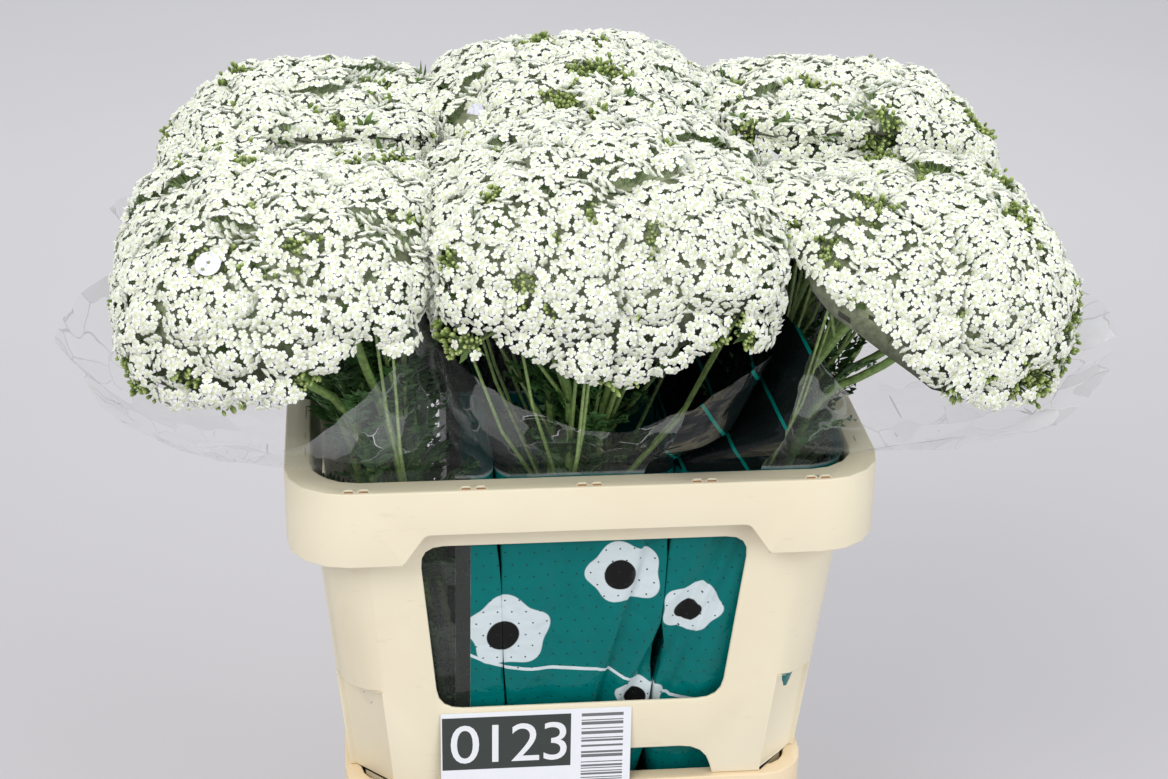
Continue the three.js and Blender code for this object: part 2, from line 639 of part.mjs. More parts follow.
place("bucket", bucket(), PEACH);
place("stacking_collar", collar(), CREAM);
place("lot_card", card(), PAPER);
place("water", water(stems), LIQUID);
for (const bunch of BUNCHES) {
  place(`sleeve_${bunch.name}`, sleeve(bunch), FILM);
  place(`band_${bunch.name}`, band(bunch), RUBBER);
}
for (const { bunch, index } of stems) {
  place(`yarrow_${bunch.name}_${index + 1}`, stem(bunch, index), PLANT);
}
place("sticker_1", sticker(BUNCHES[0], 5, 0.436, -1.955), PAPER);
place("sticker_2", sticker(BUNCHES[4], 5, 0.77, -2.35), PAPER);

export default part;
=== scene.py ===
import math

import bpy
import numpy as np
from mathutils import Matrix, Vector, noise


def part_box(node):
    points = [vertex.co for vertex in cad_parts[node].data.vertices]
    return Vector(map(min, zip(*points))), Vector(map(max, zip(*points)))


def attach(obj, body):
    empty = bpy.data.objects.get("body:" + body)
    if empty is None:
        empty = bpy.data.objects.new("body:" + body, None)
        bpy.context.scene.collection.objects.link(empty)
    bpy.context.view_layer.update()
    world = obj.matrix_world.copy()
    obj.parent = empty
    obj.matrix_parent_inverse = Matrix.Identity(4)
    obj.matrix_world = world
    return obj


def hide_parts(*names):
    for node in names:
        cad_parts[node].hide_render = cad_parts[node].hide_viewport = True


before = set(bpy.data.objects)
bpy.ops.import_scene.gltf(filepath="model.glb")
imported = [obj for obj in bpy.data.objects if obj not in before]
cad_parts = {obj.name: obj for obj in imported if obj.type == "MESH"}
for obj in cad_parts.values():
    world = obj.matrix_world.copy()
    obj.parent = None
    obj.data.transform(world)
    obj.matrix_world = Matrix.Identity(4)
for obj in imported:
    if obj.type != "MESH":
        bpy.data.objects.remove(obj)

bpy.ops.object.select_all(action="DESELECT")
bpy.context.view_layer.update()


# ---------------------------------------------------------------------------------------------
# The transport bucket: a tapered tub with a flanged rim, injection moulded in polypropylene.
# Peach-cream, satin, with the fine scuffs that stacking leaves. It stands on the floor.
# ---------------------------------------------------------------------------------------------
MM = 0.001


def moulded_from(node, name, edge):
    """A smooth piece from a copy of a CAD node's mesh, with its edges rounded."""
    piece = bpy.data.objects.new(name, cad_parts[node].data.copy())
    bpy.context.collection.objects.link(piece)
    piece.data.materials.clear()
    bpy.context.view_layer.objects.active = piece
    piece.select_set(True)
    bpy.ops.object.mode_set(mode="EDIT")
    bpy.ops.mesh.select_all(action="SELECT")
    bpy.ops.mesh.remove_doubles(threshold=0.06 * MM)
    bpy.ops.mesh.dissolve_limited(angle_limit=math.radians(0.6))
    bpy.ops.object.mode_set(mode="OBJECT")
    rounding = piece.modifiers.new("rounding", "BEVEL")
    rounding.width = edge
    rounding.segments = 3
    rounding.limit_method = "ANGLE"
    rounding.angle_limit = math.radians(34)
    rounding.use_clamp_overlap = False
    bpy.ops.object.modifier_apply(modifier="rounding")
    bpy.ops.object.shade_smooth_by_angle(angle=math.radians(32))
    piece.select_set(False)
    return piece


def group_with(name, inputs, outputs):
    """An empty shader node group with its sockets; returns it and its two end nodes."""
    group = bpy.data.node_groups.new(name, "ShaderNodeTree")
    for label, value in inputs:
        socket = group.interface.new_socket(label, in_out="INPUT", socket_type="NodeSocketFloat")
        socket.default_value = value
    for label, kind in outputs:
        group.interface.new_socket(label, in_out="OUTPUT", socket_type=kind)
    return group, group.nodes.new("NodeGroupInput"), group.nodes.new("NodeGroupOutput")


def put(tree, kind, values=(), settings=()):
    """A node with the given input values (numbers or output sockets) and settings."""
    node = tree.nodes.new(kind)
    for key, value in dict(settings).items():
        setattr(node, key, value)
    for key, value in dict(values).items():
        if isinstance(value, bpy.types.NodeSocket):
            tree.links.new(value, node.inputs[key])
        else:
            node.inputs[key].default_value = value
    return node


def sums(tree, operation, first, second=0.0, third=None):
    """The result of a Math node."""
    values = {0: first, 1: second}
    if third is not None:
        values[2] = third
    return put(tree, "ShaderNodeMath", values, {"operation": operation}).outputs[0]


def blended(tree, share, low, high):
    """A colour that goes from low to high with share."""
    node = put(tree, "ShaderNodeMix", settings={"data_type": "RGBA"})
    for index, value in ((0, share), (6, low), (7, high)):
        if isinstance(value, bpy.types.NodeSocket):
            tree.links.new(value, node.inputs[index])
        else:
            node.inputs[index].default_value = value
    return node.outputs[2]


def ramp(tree, value, low, high):
    """Value stretched so that low is 0 and high is 1."""
    return put(tree, "ShaderNodeMapRange", {"Value": value, "From Min": low, "From Max": high}).outputs[0]


def cloudy(tree, place, scale, detail=3.0, rough=0.55):
    return put(tree, "ShaderNodeTexNoise", {
        "Vector": place, "Scale": scale, "Detail": detail, "Roughness": rough}).outputs["Fac"]


def material_with_shader(name):
    """A material with its tree, its Principled shader and its Object coordinates."""
    material = bpy.data.materials.new(name)
    material.use_nodes = True
    tree = material.node_tree
    place = tree.nodes.new("ShaderNodeTexCoord").outputs["Object"]
    return material, tree, tree.nodes["Principled BSDF"], place


# Moulded skin: cloudy tone, fine orange-peel height, and scuffs that stand where crates rub
moulded_skin, ends_in, ends_out = group_with(
    "moulded_skin", [("Grain", 900.0)],
    [("Tone", "NodeSocketFloat"), ("Scuffs", "NodeSocketFloat"), ("Height", "NodeSocketFloat")])
skin_place = moulded_skin.nodes.new("ShaderNodeTexCoord").outputs["Object"]
moulded_skin.links.new(cloudy(moulded_skin, skin_place, 9.0), ends_out.inputs["Tone"])
stretched = put(moulded_skin, "ShaderNodeMapping", {
    "Vector": skin_place, "Rotation": (0.5, 0.9, 0.3), "Scale": (14.0, 160.0, 60.0)}).outputs[0]
moulded_skin.links.new(ramp(moulded_skin, cloudy(moulded_skin, stretched, 2.2, 5.0, 0.7), 0.62, 0.7),
                       ends_out.inputs["Scuffs"])
fine = put(moulded_skin, "ShaderNodeTexNoise", {
    "Vector": skin_place, "Scale": ends_in.outputs["Grain"], "Detail": 2.0})
moulded_skin.links.new(fine.outputs["Fac"], ends_out.inputs["Height"])


def plastic(name, pale, deep, scuffed):
    """Moulded polypropylene in two close tones."""
    material, tree, shader, place = material_with_shader(name)
    skin = put(tree, "ShaderNodeGroup", settings={"node_tree": moulded_skin})
    tone = blended(tree, ramp(tree, skin.outputs["Tone"], 0.35, 0.68), pale, deep)
    marks = sums(tree, "MULTIPLY", skin.outputs["Scuffs"], 0.35)
    tree.links.new(blended(tree, marks, tone, scuffed), shader.inputs["Base Color"])
    tree.links.new(sums(tree, "MULTIPLY_ADD", skin.outputs["Scuffs"], 0.18, 0.36),
                   shader.inputs["Roughness"])
    bump = put(tree, "ShaderNodeBump", {
        "Height": skin.outputs["Height"], "Strength": 0.12, "Distance": 0.0003})
    tree.links.new(bump.outputs[0], shader.inputs["Normal"])
    shader.inputs["Specular IOR Level"].default_value = 0.45
    return material


bucket = moulded_from("bucket", "transport_bucket", 1.1 * MM)
bucket.data.materials.append(plastic(
    "peach_polypropylene", (0.86, 0.7, 0.47, 1), (0.82, 0.65, 0.42, 1), (0.72, 0.58, 0.4, 1)))
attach(bucket, "root")
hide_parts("bucket")


# ---------------------------------------------------------------------------------------------
# The stacking collar: a tapered ring with a deep rolled skirt, a window in each long side and
# hand slots in the ends. One cream polypropylene moulding that drops onto the bucket's rim.
# ---------------------------------------------------------------------------------------------
COLLAR_BASE, COLLAR_TOP = 300.3, 575.3
LUG_PITCH, LUG_PAIRS, LUG_APART, LUG_INSET = 82, 5, 10.5, 5.2
RIM_Y = 165

collar = moulded_from("stacking_collar", "cream_collar", 1.2 * MM)
cream = plastic("cream_polypropylene",
                (0.85, 0.77, 0.58, 1), (0.82, 0.735, 0.54, 1), (0.7, 0.62, 0.45, 1))
collar.data.materials.append(cream)
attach(collar, "root")
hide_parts("stacking_collar")

# A brown pad in each of the two shallow sockets in front of each pair of lugs: painted shade, the dark brown of the
# slots under the lugs
slot_shade_pads = []
for row in (-1, 1):
    for pair in range(LUG_PAIRS):
        for beside in (-1, 1):
            x = (pair - (LUG_PAIRS - 1) / 2) * LUG_PITCH + beside * LUG_APART / 2
            bpy.ops.mesh.primitive_cube_add(
                size=1, location=(x * MM, row * (RIM_Y - LUG_INSET + 2.2) * MM, (COLLAR_TOP + 0.35) * MM))
            pad = bpy.context.object
            pad.scale = (6.4 * MM, 1.7 * MM, 0.7 * MM)
            bpy.ops.object.transform_apply(location=True, rotation=True, scale=True)
            soft = pad.modifiers.new("soft", "BEVEL")
            soft.width, soft.segments = 0.3 * MM, 2
            bpy.ops.object.modifier_apply(modifier="soft")
            pad.select_set(False)
            slot_shade_pads.append(pad)
for pad in slot_shade_pads:
    pad.select_set(True)
bpy.context.view_layer.objects.active = slot_shade_pads[0]
bpy.ops.object.join()
lug_slot_shade = slot_shade_pads[0]
lug_slot_shade.name = "lug_slot_shade_pads"
lug_slot_shade.select_set(False)
# brown painted shade for the slots under the lugs, clouded by a fine noise
slot_shade_paint, tree, shader, place = material_with_shader("brown_slot_shade")
tree.links.new(blended(tree, cloudy(tree, place, 420.0), (0.28, 0.12, 0.04, 1), (0.5, 0.27, 0.11, 1)),
               shader.inputs["Base Color"])
shader.inputs["Roughness"].default_value = 0.6
lug_slot_shade.data.materials.append(slot_shade_paint)
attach(lug_slot_shade, "root")


# ---------------------------------------------------------------------------------------------
# The lot card: white card on the collar's front, with a dark panel, a plain number and a block
# of plain bars. It hangs flat against the sloping wall.
# ---------------------------------------------------------------------------------------------
CARD_LEFT, CARD_WIDTH, CARD_TOP, CARD_HEIGHT = -106, 145, 369.3, 103
CARD_THICK = 0.5
card_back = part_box("lot_card")[1].y / MM

bpy.ops.mesh.primitive_grid_add(x_subdivisions=18, y_subdivisions=14, size=1)
card = bpy.context.object
card.name = "card_sheet"
for corner in card.data.vertices:
    across, down = corner.co.x + 0.5, 0.5 - corner.co.y
    curl = 2.6 * max(0.0, down - 0.55) ** 2 * (0.4 + 1.2 * across) + 0.9 * max(0.0, across - 0.75) ** 2
    corner.co = Vector((CARD_LEFT + CARD_WIDTH * across, card_back - CARD_THICK - curl,
                        CARD_TOP - CARD_HEIGHT * down)) * MM
thick = card.modifiers.new("thick", "SOLIDIFY")
thick.thickness, thick.offset = 0.35 * MM, -1
bpy.ops.object.modifier_apply(modifier="thick")
bpy.ops.object.shade_smooth_by_angle(angle=math.radians(40))
card.select_set(False)

printed, tree, shader, place = material_with_shader("printed_card")
axes = put(tree, "ShaderNodeSeparateXYZ", {"Vector": place}).outputs


def inside(tree, value, low, high):
    """1 between low and high, else 0, with a soft edge of a fifth of a millimetre."""
    edge = 0.1 * MM
    above = ramp(tree, value, low - edge, low + edge)
    below = ramp(tree, value, high + edge, high - edge)
    return sums(tree, "MULTIPLY", above, below)


panel = sums(tree, "MULTIPLY", inside(tree, axes["X"], -0.105, -0.007), inside(tree, axes["Z"], 0.3183, 0.3653))
bars_area = sums(tree, "MULTIPLY", inside(tree, axes["X"], 0.001, 0.033), inside(tree, axes["Z"], 0.2935, 0.3663))
stepped = put(tree, "ShaderNodeTexWhiteNoise", {
    "W": sums(tree, "FLOOR", sums(tree, "MULTIPLY", axes["Z"], 1 / (0.95 * MM)))},
    {"noise_dimensions": "1D"}).outputs["Value"]
bars = sums(tree, "MULTIPLY", bars_area, sums(tree, "GREATER_THAN", stepped, 0.45))
ink = sums(tree, "MAXIMUM", panel, sums(tree, "MULTIPLY", bars, 0.85))
white = blended(tree, cloudy(tree, place, 60.0), (0.8, 0.82, 0.86, 1), (0.86, 0.87, 0.9, 1))
tree.links.new(blended(tree, ink, white, (0.035, 0.045, 0.04, 1)), shader.inputs["Base Color"])
shader.inputs["Roughness"].default_value = 0.42
card.data.materials.append(printed)
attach(card, "root")
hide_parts("lot_card")

bpy.ops.object.text_add(location=(0, 0, 0))
number = bpy.context.object
number.name = "card_number"
number.data.body = "0123"
number.data.size = 0.049
number.data.extrude = 0.05 * MM
number.data.space_character = 0.94
number.data.resolution_u = 5
bpy.ops.object.convert(target="MESH")
bpy.ops.object.mode_set(mode="EDIT")
bpy.ops.mesh.select_all(action="SELECT")
bpy.ops.mesh.remove_doubles(threshold=0.001 * MM)
bpy.ops.object.mode_set(mode="OBJECT")
number.matrix_world = Matrix.Translation(
    (-0.1, (card_back - CARD_THICK - 0.12) * MM, 0.3245)) @ Matrix.Rotation(math.pi / 2, 4, "X")
bpy.ops.object.transform_apply(location=True, rotation=True, scale=True)
number.select_set(False)
number_ink, tree, shader, place = material_with_shader("card_number_ink")
tree.links.new(blended(tree, cloudy(tree, place, 300.0), (0.78, 0.8, 0.82, 1), (0.85, 0.86, 0.88, 1)),
               shader.inputs["Base Color"])
shader.inputs["Roughness"].default_value = 0.5
number.data.materials.append(number_ink)
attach(number, "root")


# ---------------------------------------------------------------------------------------------
# The vase water: a few litres, still and slightly green, in the bucket's foot round the stems.
# The CAD body has the right shape; it gets a clear water material.
# ---------------------------------------------------------------------------------------------
vase_water, tree, shader, place = material_with_shader("vase_water")
tree.links.new(blended(tree, cloudy(tree, place, 25.0), (0.5, 0.62, 0.5, 1), (0.6, 0.68, 0.58, 1)),
               shader.inputs["Base Color"])
shader.inputs["Roughness"].default_value = 0.04
shader.inputs["IOR"].default_value = 1.33
shader.inputs["Alpha"].default_value = 0.55
ripple = put(tree, "ShaderNodeBump", {"Height": cloudy(tree, place, 40.0), "Strength": 0.2, "Distance": 0.001})
tree.links.new(ripple.outputs[0], shader.inputs["Normal"])
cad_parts["water"].material_slots[0].material = vase_water


# ---------------------------------------------------------------------------------------------
# The yarrow stems: seven to a bunch, round ridged green stalks that stand close in the bucket,
# spread above the band and fork into rays under each flower plate. Feathery leaves all the way.
# ---------------------------------------------------------------------------------------------
BUNCHES = [
    dict(name="front_left", column=-1, row=-1, x=-222, y=-112, half_x=105, half_y=109, edge=362, rise=128),
    dict(name="front_middle", column=0, row=-1, x=10, y=-112, half_x=122, half_y=109, edge=368, rise=146),
    dict(name="front_right", column=1, row=-1, x=243, y=-107, half_x=106, half_y=104, edge=344, rise=132),
    dict(name="back_left", column=-1, row=1, x=-204, y=108, half_x=104, half_y=105, edge=378, rise=122),
    dict(name="back_middle", column=0, row=1, x=10, y=113, half_x=106, half_y=110, edge=392, rise=128),
    dict(name="back_right", column=1, row=1, x=229, y=107, half_x=109, half_y=104, edge=370, rise=130),
]
PLATES = 7
MIDDLE_SHARE = 0.26
DOME_END, EQUATOR, SAG, SAG_POWER, BLEND, SQUARE = 2.0, 0.38, 0.32, 2.2, 1.5, 2.8
FOCUS_DROP, BUMP, SHELL = 70, 0.018, 0.13
AXIS_LEVELS = np.array([[4.3, 98, 51], [130, 99, 52], [300, 105.5, 54], [575.3, 131, 73]])
STEM_LEVELS = [(4.3, 11.5), (130, 8.2), (300, 22), (575.3, 21)]
STEM_SHIFT, STEM_FORK = 0.17, 0.42
STEM_RADII = [3.6, 3.5, 3.4, 3.2, 3.1, 2.7]

STEM_GREEN, STEM_DARK = (0.24, 0.36, 0.11), (0.08, 0.17, 0.035)
RAY_GREEN, BRACT_GREEN, LEAF_GREEN = (0.24, 0.34, 0.12), (0.09, 0.15, 0.04), (0.05, 0.13, 0.035)
UNDER_GREEN = (0.34, 0.38, 0.23)


def met(bunch, angle):
    """How much a head meets its neighbours in a direction, from 0 to 1."""
    toward = np.maximum(0, -np.sin(angle) * bunch["row"])
    if bunch["column"] == 0:
        between = np.abs(np.cos(angle)) * 0.7
    else:
        between = np.maximum(0, -np.cos(angle) * bunch["column"])
    return np.minimum(1, np.hypot(toward, between))


def plan_radius(half_x, half_y, angle, square):
    return (np.abs(np.cos(angle) / half_x) ** square + np.abs(np.sin(angle) / half_y) ** square) ** (-1 / square)


def dome_point(bunch, share, angle):
    """The point of a head's dome at a share of the way from its top to its edge, in mm."""
    share, angle = np.broadcast_arrays(np.asarray(share, float), np.asarray(angle, float))
    joined = met(bunch, angle) ** BLEND
    turn = share * DOME_END
    middle = EQUATOR * bunch["rise"]
    free = np.where(turn < math.pi / 2, middle + (bunch["rise"] - middle) * np.cos(turn),
                    middle * (1 - np.cos(turn) / math.cos(DOME_END)))
    level = free + joined * (bunch["rise"] * (1 - SAG * share ** SAG_POWER) - free)
    width = np.sin(turn) + joined * (np.sin(share * math.pi / 2) - np.sin(turn))
    reach = width * plan_radius(bunch["half_x"], bunch["half_y"], angle, SQUARE)
    return np.stack([bunch["x"] + reach * np.cos(angle), bunch["y"] + reach * np.sin(angle),
                     COLLAR_BASE + bunch["edge"] + level], -1)


def up_from(surface, bunch, share, angle):
    """The outward unit normal of a head's surface."""
    here = surface(bunch, share, angle)
    ahead = surface(bunch, np.asarray(share) + 0.01, angle) - here
    aside = surface(bunch, share, np.asarray(angle) + 0.01) - here
    up = np.cross(ahead, aside)
    return up / np.maximum(np.linalg.norm(up, axis=-1, keepdims=True), 1e-9)


def focus(bunch):
    return np.array([bunch["x"], bunch["y"], COLLAR_BASE + bunch["edge"] - FOCUS_DROP])


def shell_point(bunch, share, angle, depth):
    return focus(bunch) + (dome_point(bunch, share, angle) - focus(bunch)) * (1 - depth)


def axis_at(bunch, z):
    return np.array([bunch["column"] * np.interp(z, AXIS_LEVELS[:, 0], AXIS_LEVELS[:, 1]),
                     bunch["row"] * np.interp(z, AXIS_LEVELS[:, 0], AXIS_LEVELS[:, 2]), z])


def stem_path(bunch, plate):
    """The points of one stalk from its cut foot to the underside of its plate."""
    knots = []
    for z, spread in STEM_LEVELS:
        knot = axis_at(bunch, z)
        if plate:
            turn = 2 * math.pi * (plate - 1) / 6
            knot[:2] += spread * np.array([math.cos(turn), math.sin(turn)])
        knots.append(knot)
    middle = axis_at(bunch, COLLAR_TOP)
    knots[-1][:2] += STEM_SHIFT * (np.array([bunch["x"], bunch["y"]]) - middle[:2])
    if plate:
        top = shell_point(bunch, MIDDLE_SHARE + (1 - MIDDLE_SHARE) * 0.3, 2 * math.pi * (plate - 1) / 6, 0.078)
    else:
        top = shell_point(bunch, 0.01, 0.0, 0.078)
    lean = top - knots[-1]
    knots.append(knots[-1] + STEM_FORK * lean + np.array([0, 0, 0.06 * lean[2]]))
    knots.append(top)
    knots = np.array(knots)
    padded = np.vstack([2 * knots[0] - knots[1], knots, 2 * knots[-1] - knots[-2]])
    path = []
    for a, b, c, d in zip(padded, padded[1:], padded[2:], padded[3:]):
        for t in np.arange(0, 1, 0.25):
            path.append(0.5 * (2 * b + (c - a) * t + (2 * a - 5 * b + 4 * c - d) * t ** 2
                               + (3 * b - a - 3 * c + d) * t ** 3))
    return np.array(path + [knots[-1]])


class Growth:
    """Points, triangles and tints that grow into one mesh."""

    def __init__(self):
        self.points, self.faces, self.tints, self.count = [], [], [], 0

    def add(self, points, faces, tints):
        points = np.asarray(points, float).reshape(-1, 3)
        tints = np.broadcast_to(np.asarray(tints, float), (len(points), 3))
        self.points.append(points)
        self.faces.append(np.asarray(faces, int).reshape(-1, 3) + self.count)
        self.tints.append(tints)
        self.count += len(points)

    def rod(self, path, radii, sides, low_tint, high_tint):
        """A closed tapered rod along a path."""
        path = np.asarray(path, float)
        n = len(path)
        ahead = np.gradient(path, axis=0)
        ahead /= np.maximum(np.linalg.norm(ahead, axis=1, keepdims=True), 1e-9)
        side = np.cross(ahead, np.array([0.32, 0.94, 0.11]))
        side /= np.maximum(np.linalg.norm(side, axis=1, keepdims=True), 1e-9)
        other = np.cross(ahead, side)
        radii = np.interp(np.linspace(0, 1, n), np.linspace(0, 1, len(radii)), radii)
        turn = 2 * math.pi * np.arange(sides) / sides
        ring = (side[:, None] * np.cos(turn)[None, :, None] + other[:, None] * np.sin(turn)[None, :, None])
        points = (path[:, None] + ring * radii[:, None, None]).reshape(-1, 3)
        i, j = np.arange(sides), (np.arange(sides) + 1) % sides
        faces = []
        for r in range(n - 1):
            low, high = r * sides, (r + 1) * sides
            faces += [np.stack([low + i, low + j, high + j], 1), np.stack([low + i, high + j, high + i], 1)]
        k = np.arange(1, sides - 1)
        faces.append(np.stack([0 * k, k + 1, k], 1))
        faces.append(np.stack([0 * k, k, k + 1], 1) + (n - 1) * sides)
        share = np.repeat(np.linspace(0, 1, n), sides)[:, None]
        self.add(points, np.vstack(faces), (1 - share) * np.array(low_tint) + share * np.array(high_tint))

    def blades(self, roots, tips, ups, widths, tints):
        """Flat closed leaflets, four triangles each, from roots to tips."""
        roots, tips, ups = (np.atleast_2d(np.asarray(v, float)) for v in (roots, tips, ups))
        along = tips - roots
        wide = np.cross(along, ups)
        wide /= np.maximum(np.linalg.norm(wide, axis=1, keepdims=True), 1e-9)
        middle = roots + 0.45 * along
        widths = np.broadcast_to(np.asarray(widths, float), (len(roots),))[:, None]
        lift = ups * widths * 0.35
        points = np.stack([roots, middle + wide * widths / 2 + lift, tips, middle - wide * widths / 2 + lift], 1)
        base = 4 * np.arange(len(roots))[:, None]
        quad = np.array([[0, 1, 2], [0, 2, 3], [0, 3, 1], [1, 3, 2]])
        faces = (base[:, :, None] + quad[None]).reshape(-1, 3)
        tints = np.broadcast_to(np.asarray(tints, float), (len(roots), 3))
        self.add(points.reshape(-1, 3), faces, np.repeat(tints, 4, axis=0))

    def piece(self, name, material):
        """The mesh object, in metres, with its tints as an attribute."""
        mesh = bpy.data.meshes.new(name)
        mesh.from_pydata((np.vstack(self.points) * MM).tolist(), [], np.vstack(self.faces).tolist())
        layer = mesh.color_attributes.new("tint", "FLOAT_COLOR", "POINT")
        tints = np.clip(np.vstack(self.tints), 0, 1)
        layer.data.foreach_set("color", np.hstack([tints, np.ones((len(tints), 1))]).ravel())
        mesh.materials.append(material)
        made = bpy.data.objects.new(name, mesh)
        bpy.context.collection.objects.link(made)
        return made


def tinted(name, spread, roughness, sheen):
    """Plant tissue: the piece's own tints, clouded by a fine noise."""
    material, tree, shader, place = material_with_shader(name)
    tint = put(tree, "ShaderNodeAttribute", settings={"attribute_name": "tint"}).outputs["Color"]
    factor = put(tree, "ShaderNodeMapRange", {
        "Value": cloudy(tree, place, 260.0, 2.0), "From Min": 0.3, "From Max": 0.7,
        "To Min": 1 - spread, "To Max": 1 + spread}).outputs[0]
    scaled = put(tree, "ShaderNodeVectorMath", {0: tint, "Scale": factor}, {"operation": "SCALE"}).outputs[0]
    tree.links.new(scaled, shader.inputs["Base Color"])
    shader.inputs["Roughness"].default_value = roughness
    shader.inputs["Specular IOR Level"].default_value = sheen
    return material


green_tissue = tinted("green_stalk_and_leaf", 0.3, 0.5, 0.4)
white_tissue = tinted("white_petal_and_green_bud", 0.05, 0.62, 0.25)


def feather_leaf(growth, root, out, length, rng):
    """One feathery leaf: a midrib that arches up and out, with leaflets that shorten to its tip."""
    lean = rng.uniform(0.25, 0.5)
    steps = np.linspace(0, 1, 9)
    tilt = lean + 0.75 * steps ** 1.4
    along = out[None] * np.sin(tilt)[:, None] + np.array([0, 0, 1.0])[None] * np.cos(tilt)[:, None]
    midrib = root + np.cumsum(along * length / len(steps), axis=0)
    tone = rng.uniform(0.7, 1.35)
    growth.rod(midrib, [0.8, 0.3], 3, np.array(LEAF_GREEN) * tone * 1.5, np.array(LEAF_GREEN) * tone)
    across = np.cross(out, [0, 0, 1.0])
    share = np.linspace(0.08, 0.98, 13)
    at = np.stack([np.interp(share, steps, midrib[:, k]) for k in range(3)], 1)
    ahead = np.stack([np.interp(share, steps, along[:, k]) for k in range(3)], 1)
    reach = length * 0.19 * np.sin(np.pi * (0.15 + 0.8 * share))
    for side in (-1, 1):
        tips = at + side * across * reach[:, None] + ahead * (reach * 0.7)[:, None]
        tips += rng.normal(0, 1.6, tips.shape)
        growth.blades(at, tips, np.cross(ahead, across) * side, 5.0,
                      np.array(LEAF_GREEN) * tone * rng.uniform(0.75, 1.25, (len(at), 1)))


# ---------------------------------------------------------------------------------------------
# The flower plates: hundreds of small white five-petalled flower heads on short green stalks,
# gathered in cushions of about 25 mm, with dark seams and olive buds between them.
# ---------------------------------------------------------------------------------------------
FLORET_APART, FLORET_RADIUS = 4.45, 4.3
CUSHION_APART, CUSHION_RISE, CUSHION_DEPTH = 23.0, 3.8, 19.0
PETAL_WHITE = (0.92, 0.925, 0.905)
DISC_GREEN, CLEFT_GREEN, CUP_GREEN = (0.66, 0.7, 0.42), (0.78, 0.81, 0.7), (0.17, 0.26, 0.06)
BUD_LOW, BUD_HIGH = (0.11, 0.17, 0.035), (0.27, 0.35, 0.1)
FULL_REACH, FULL_SQUARE, SIDE_WALL, SEAM_LIFT = 8.0, 4.5, 260.0, 30.0


def disc_of(node):
    """The middle and the upward normal of a thin round CAD body, in mm."""
    corners = np.array([v.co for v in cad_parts[node].data.vertices]) / MM
    middle = (corners.min(0) + corners.max(0)) / 2
    normal = np.linalg.svd(corners - corners.mean(0))[2][2]
    return middle, normal * np.sign(normal[2])


stickers = [disc_of("sticker_1"), disc_of("sticker_2")]


def pressed(bunch, angle):
    """How much the flowers of two heads push together in a direction, from 0 to 1."""
    beside = 0.9 * np.abs(np.cos(angle)) if bunch["column"] == 0 else 0
    return np.maximum(met(bunch, angle), beside)


def bloom_point(bunch, share, angle):
    """The flowers' surface: the head's dome, filled out where heads press on each other, with a
    short side wall (shares above 1) that closes the seam there."""
    share, angle = np.broadcast_arrays(np.asarray(share, float), np.asarray(angle, float))
    if bunch["name"] == "front_right":
        # its front corner toward the middle bunch ends early, so the film behind shows
        share = share * (1 - 0.27 * np.exp(-((angle + 2.35) / 0.5) ** 2))
    joined, inner = pressed(bunch, angle), np.minimum(share, 1)
    point = dome_point(bunch, inner, angle)
    full = plan_radius(bunch["half_x"] + FULL_REACH * joined, bunch["half_y"] + FULL_REACH * joined, angle,
                       SQUARE + FULL_SQUARE * joined ** 2)
    grow = 1 + (full / plan_radius(bunch["half_x"], bunch["half_y"], angle, SQUARE) - 1) * inner ** 2
    point[..., 0] = bunch["x"] + (point[..., 0] - bunch["x"]) * grow
    point[..., 1] = bunch["y"] + (point[..., 1] - bunch["y"]) * grow
    lift = SEAM_LIFT * joined ** 1.5 * inner ** 3
    for disc_middle, disc_up in stickers:
        lift = lift * (1 - np.exp(-((point[..., :2] - disc_middle[:2]) ** 2).sum(-1) / 34 ** 2))
    point[..., 2] += lift - SIDE_WALL * np.maximum(0, share - 1) * walled(joined)
    return point


def walled(joined):
    """Where a head presses on its neighbour enough to have a side wall, from 0 to 1."""
    return np.clip((joined - 0.5) / 0.2, 0, 1)


def floret(seed):
    """A flower head: five rounded petals round a raised disc, over a green cup. 40 triangles."""
    rng = np.random.default_rng(seed)
    points = [(0, 0, 0.7), (0, 0, -3.4)]
    tints = [DISC_GREEN, CUP_GREEN]
    spoke = math.radians(72)
    for k in range(5):
        a = spoke * (k + 0.5)
        points.append((2.3 * math.cos(a), 2.3 * math.sin(a), -0.1))
        tints.append(CLEFT_GREEN)
    faces = []
    rim = []
    for k in range(5):
        a = spoke * k
        droop, size = rng.uniform(-0.7, 0.35), rng.uniform(0.9, 1.06)
        first = len(points)
        for turn, reach, z in ((-27, 3.7, 0.1), (0, 4.35, 0.35), (27, 3.65, 0.0)):
            b = a + math.radians(turn)
            lift = z + droop * (reach / FLORET_RADIUS) ** 2
            points.append((size * reach * math.cos(b), size * reach * math.sin(b), lift))
            tints.append(PETAL_WHITE)
        before, after = 2 + (k - 1) % 5, 2 + k
        outline = [before, first, first + 1, first + 2, after]
        for p, q in zip(outline, outline[1:]):
            faces.append((0, p, q))
        rim += outline[:-1]
    for p, q in zip(rim, rim[1:] + rim[:1]):
        faces.append((1, q, p))
    return np.array(points), np.array(faces), np.array(tints)


def bud():
    """A closed bud, 20 triangles."""
    points, tints = [(0, 0, -2.4)], [BUD_LOW]
    for z, reach, tint in ((-0.6, 1.15, BUD_LOW), (1.1, 1.0, BUD_HIGH)):
        for k in range(5):
            a = 2 * math.pi * k / 5
            points.append((reach * math.cos(a), reach * math.sin(a), z))
            tints.append(tint)
    points.append((0, 0, 2.1))
    tints.append((0.55, 0.6, 0.3))
    faces = []
    for k in range(5):
        j = (k + 1) % 5
        faces += [(0, 1 + j, 1 + k), (1 + k, 1 + j, 6 + j), (1 + k, 6 + j, 6 + k), (6 + k, 6 + j, 11)]
    return np.array(points), np.array(faces), np.array(tints)


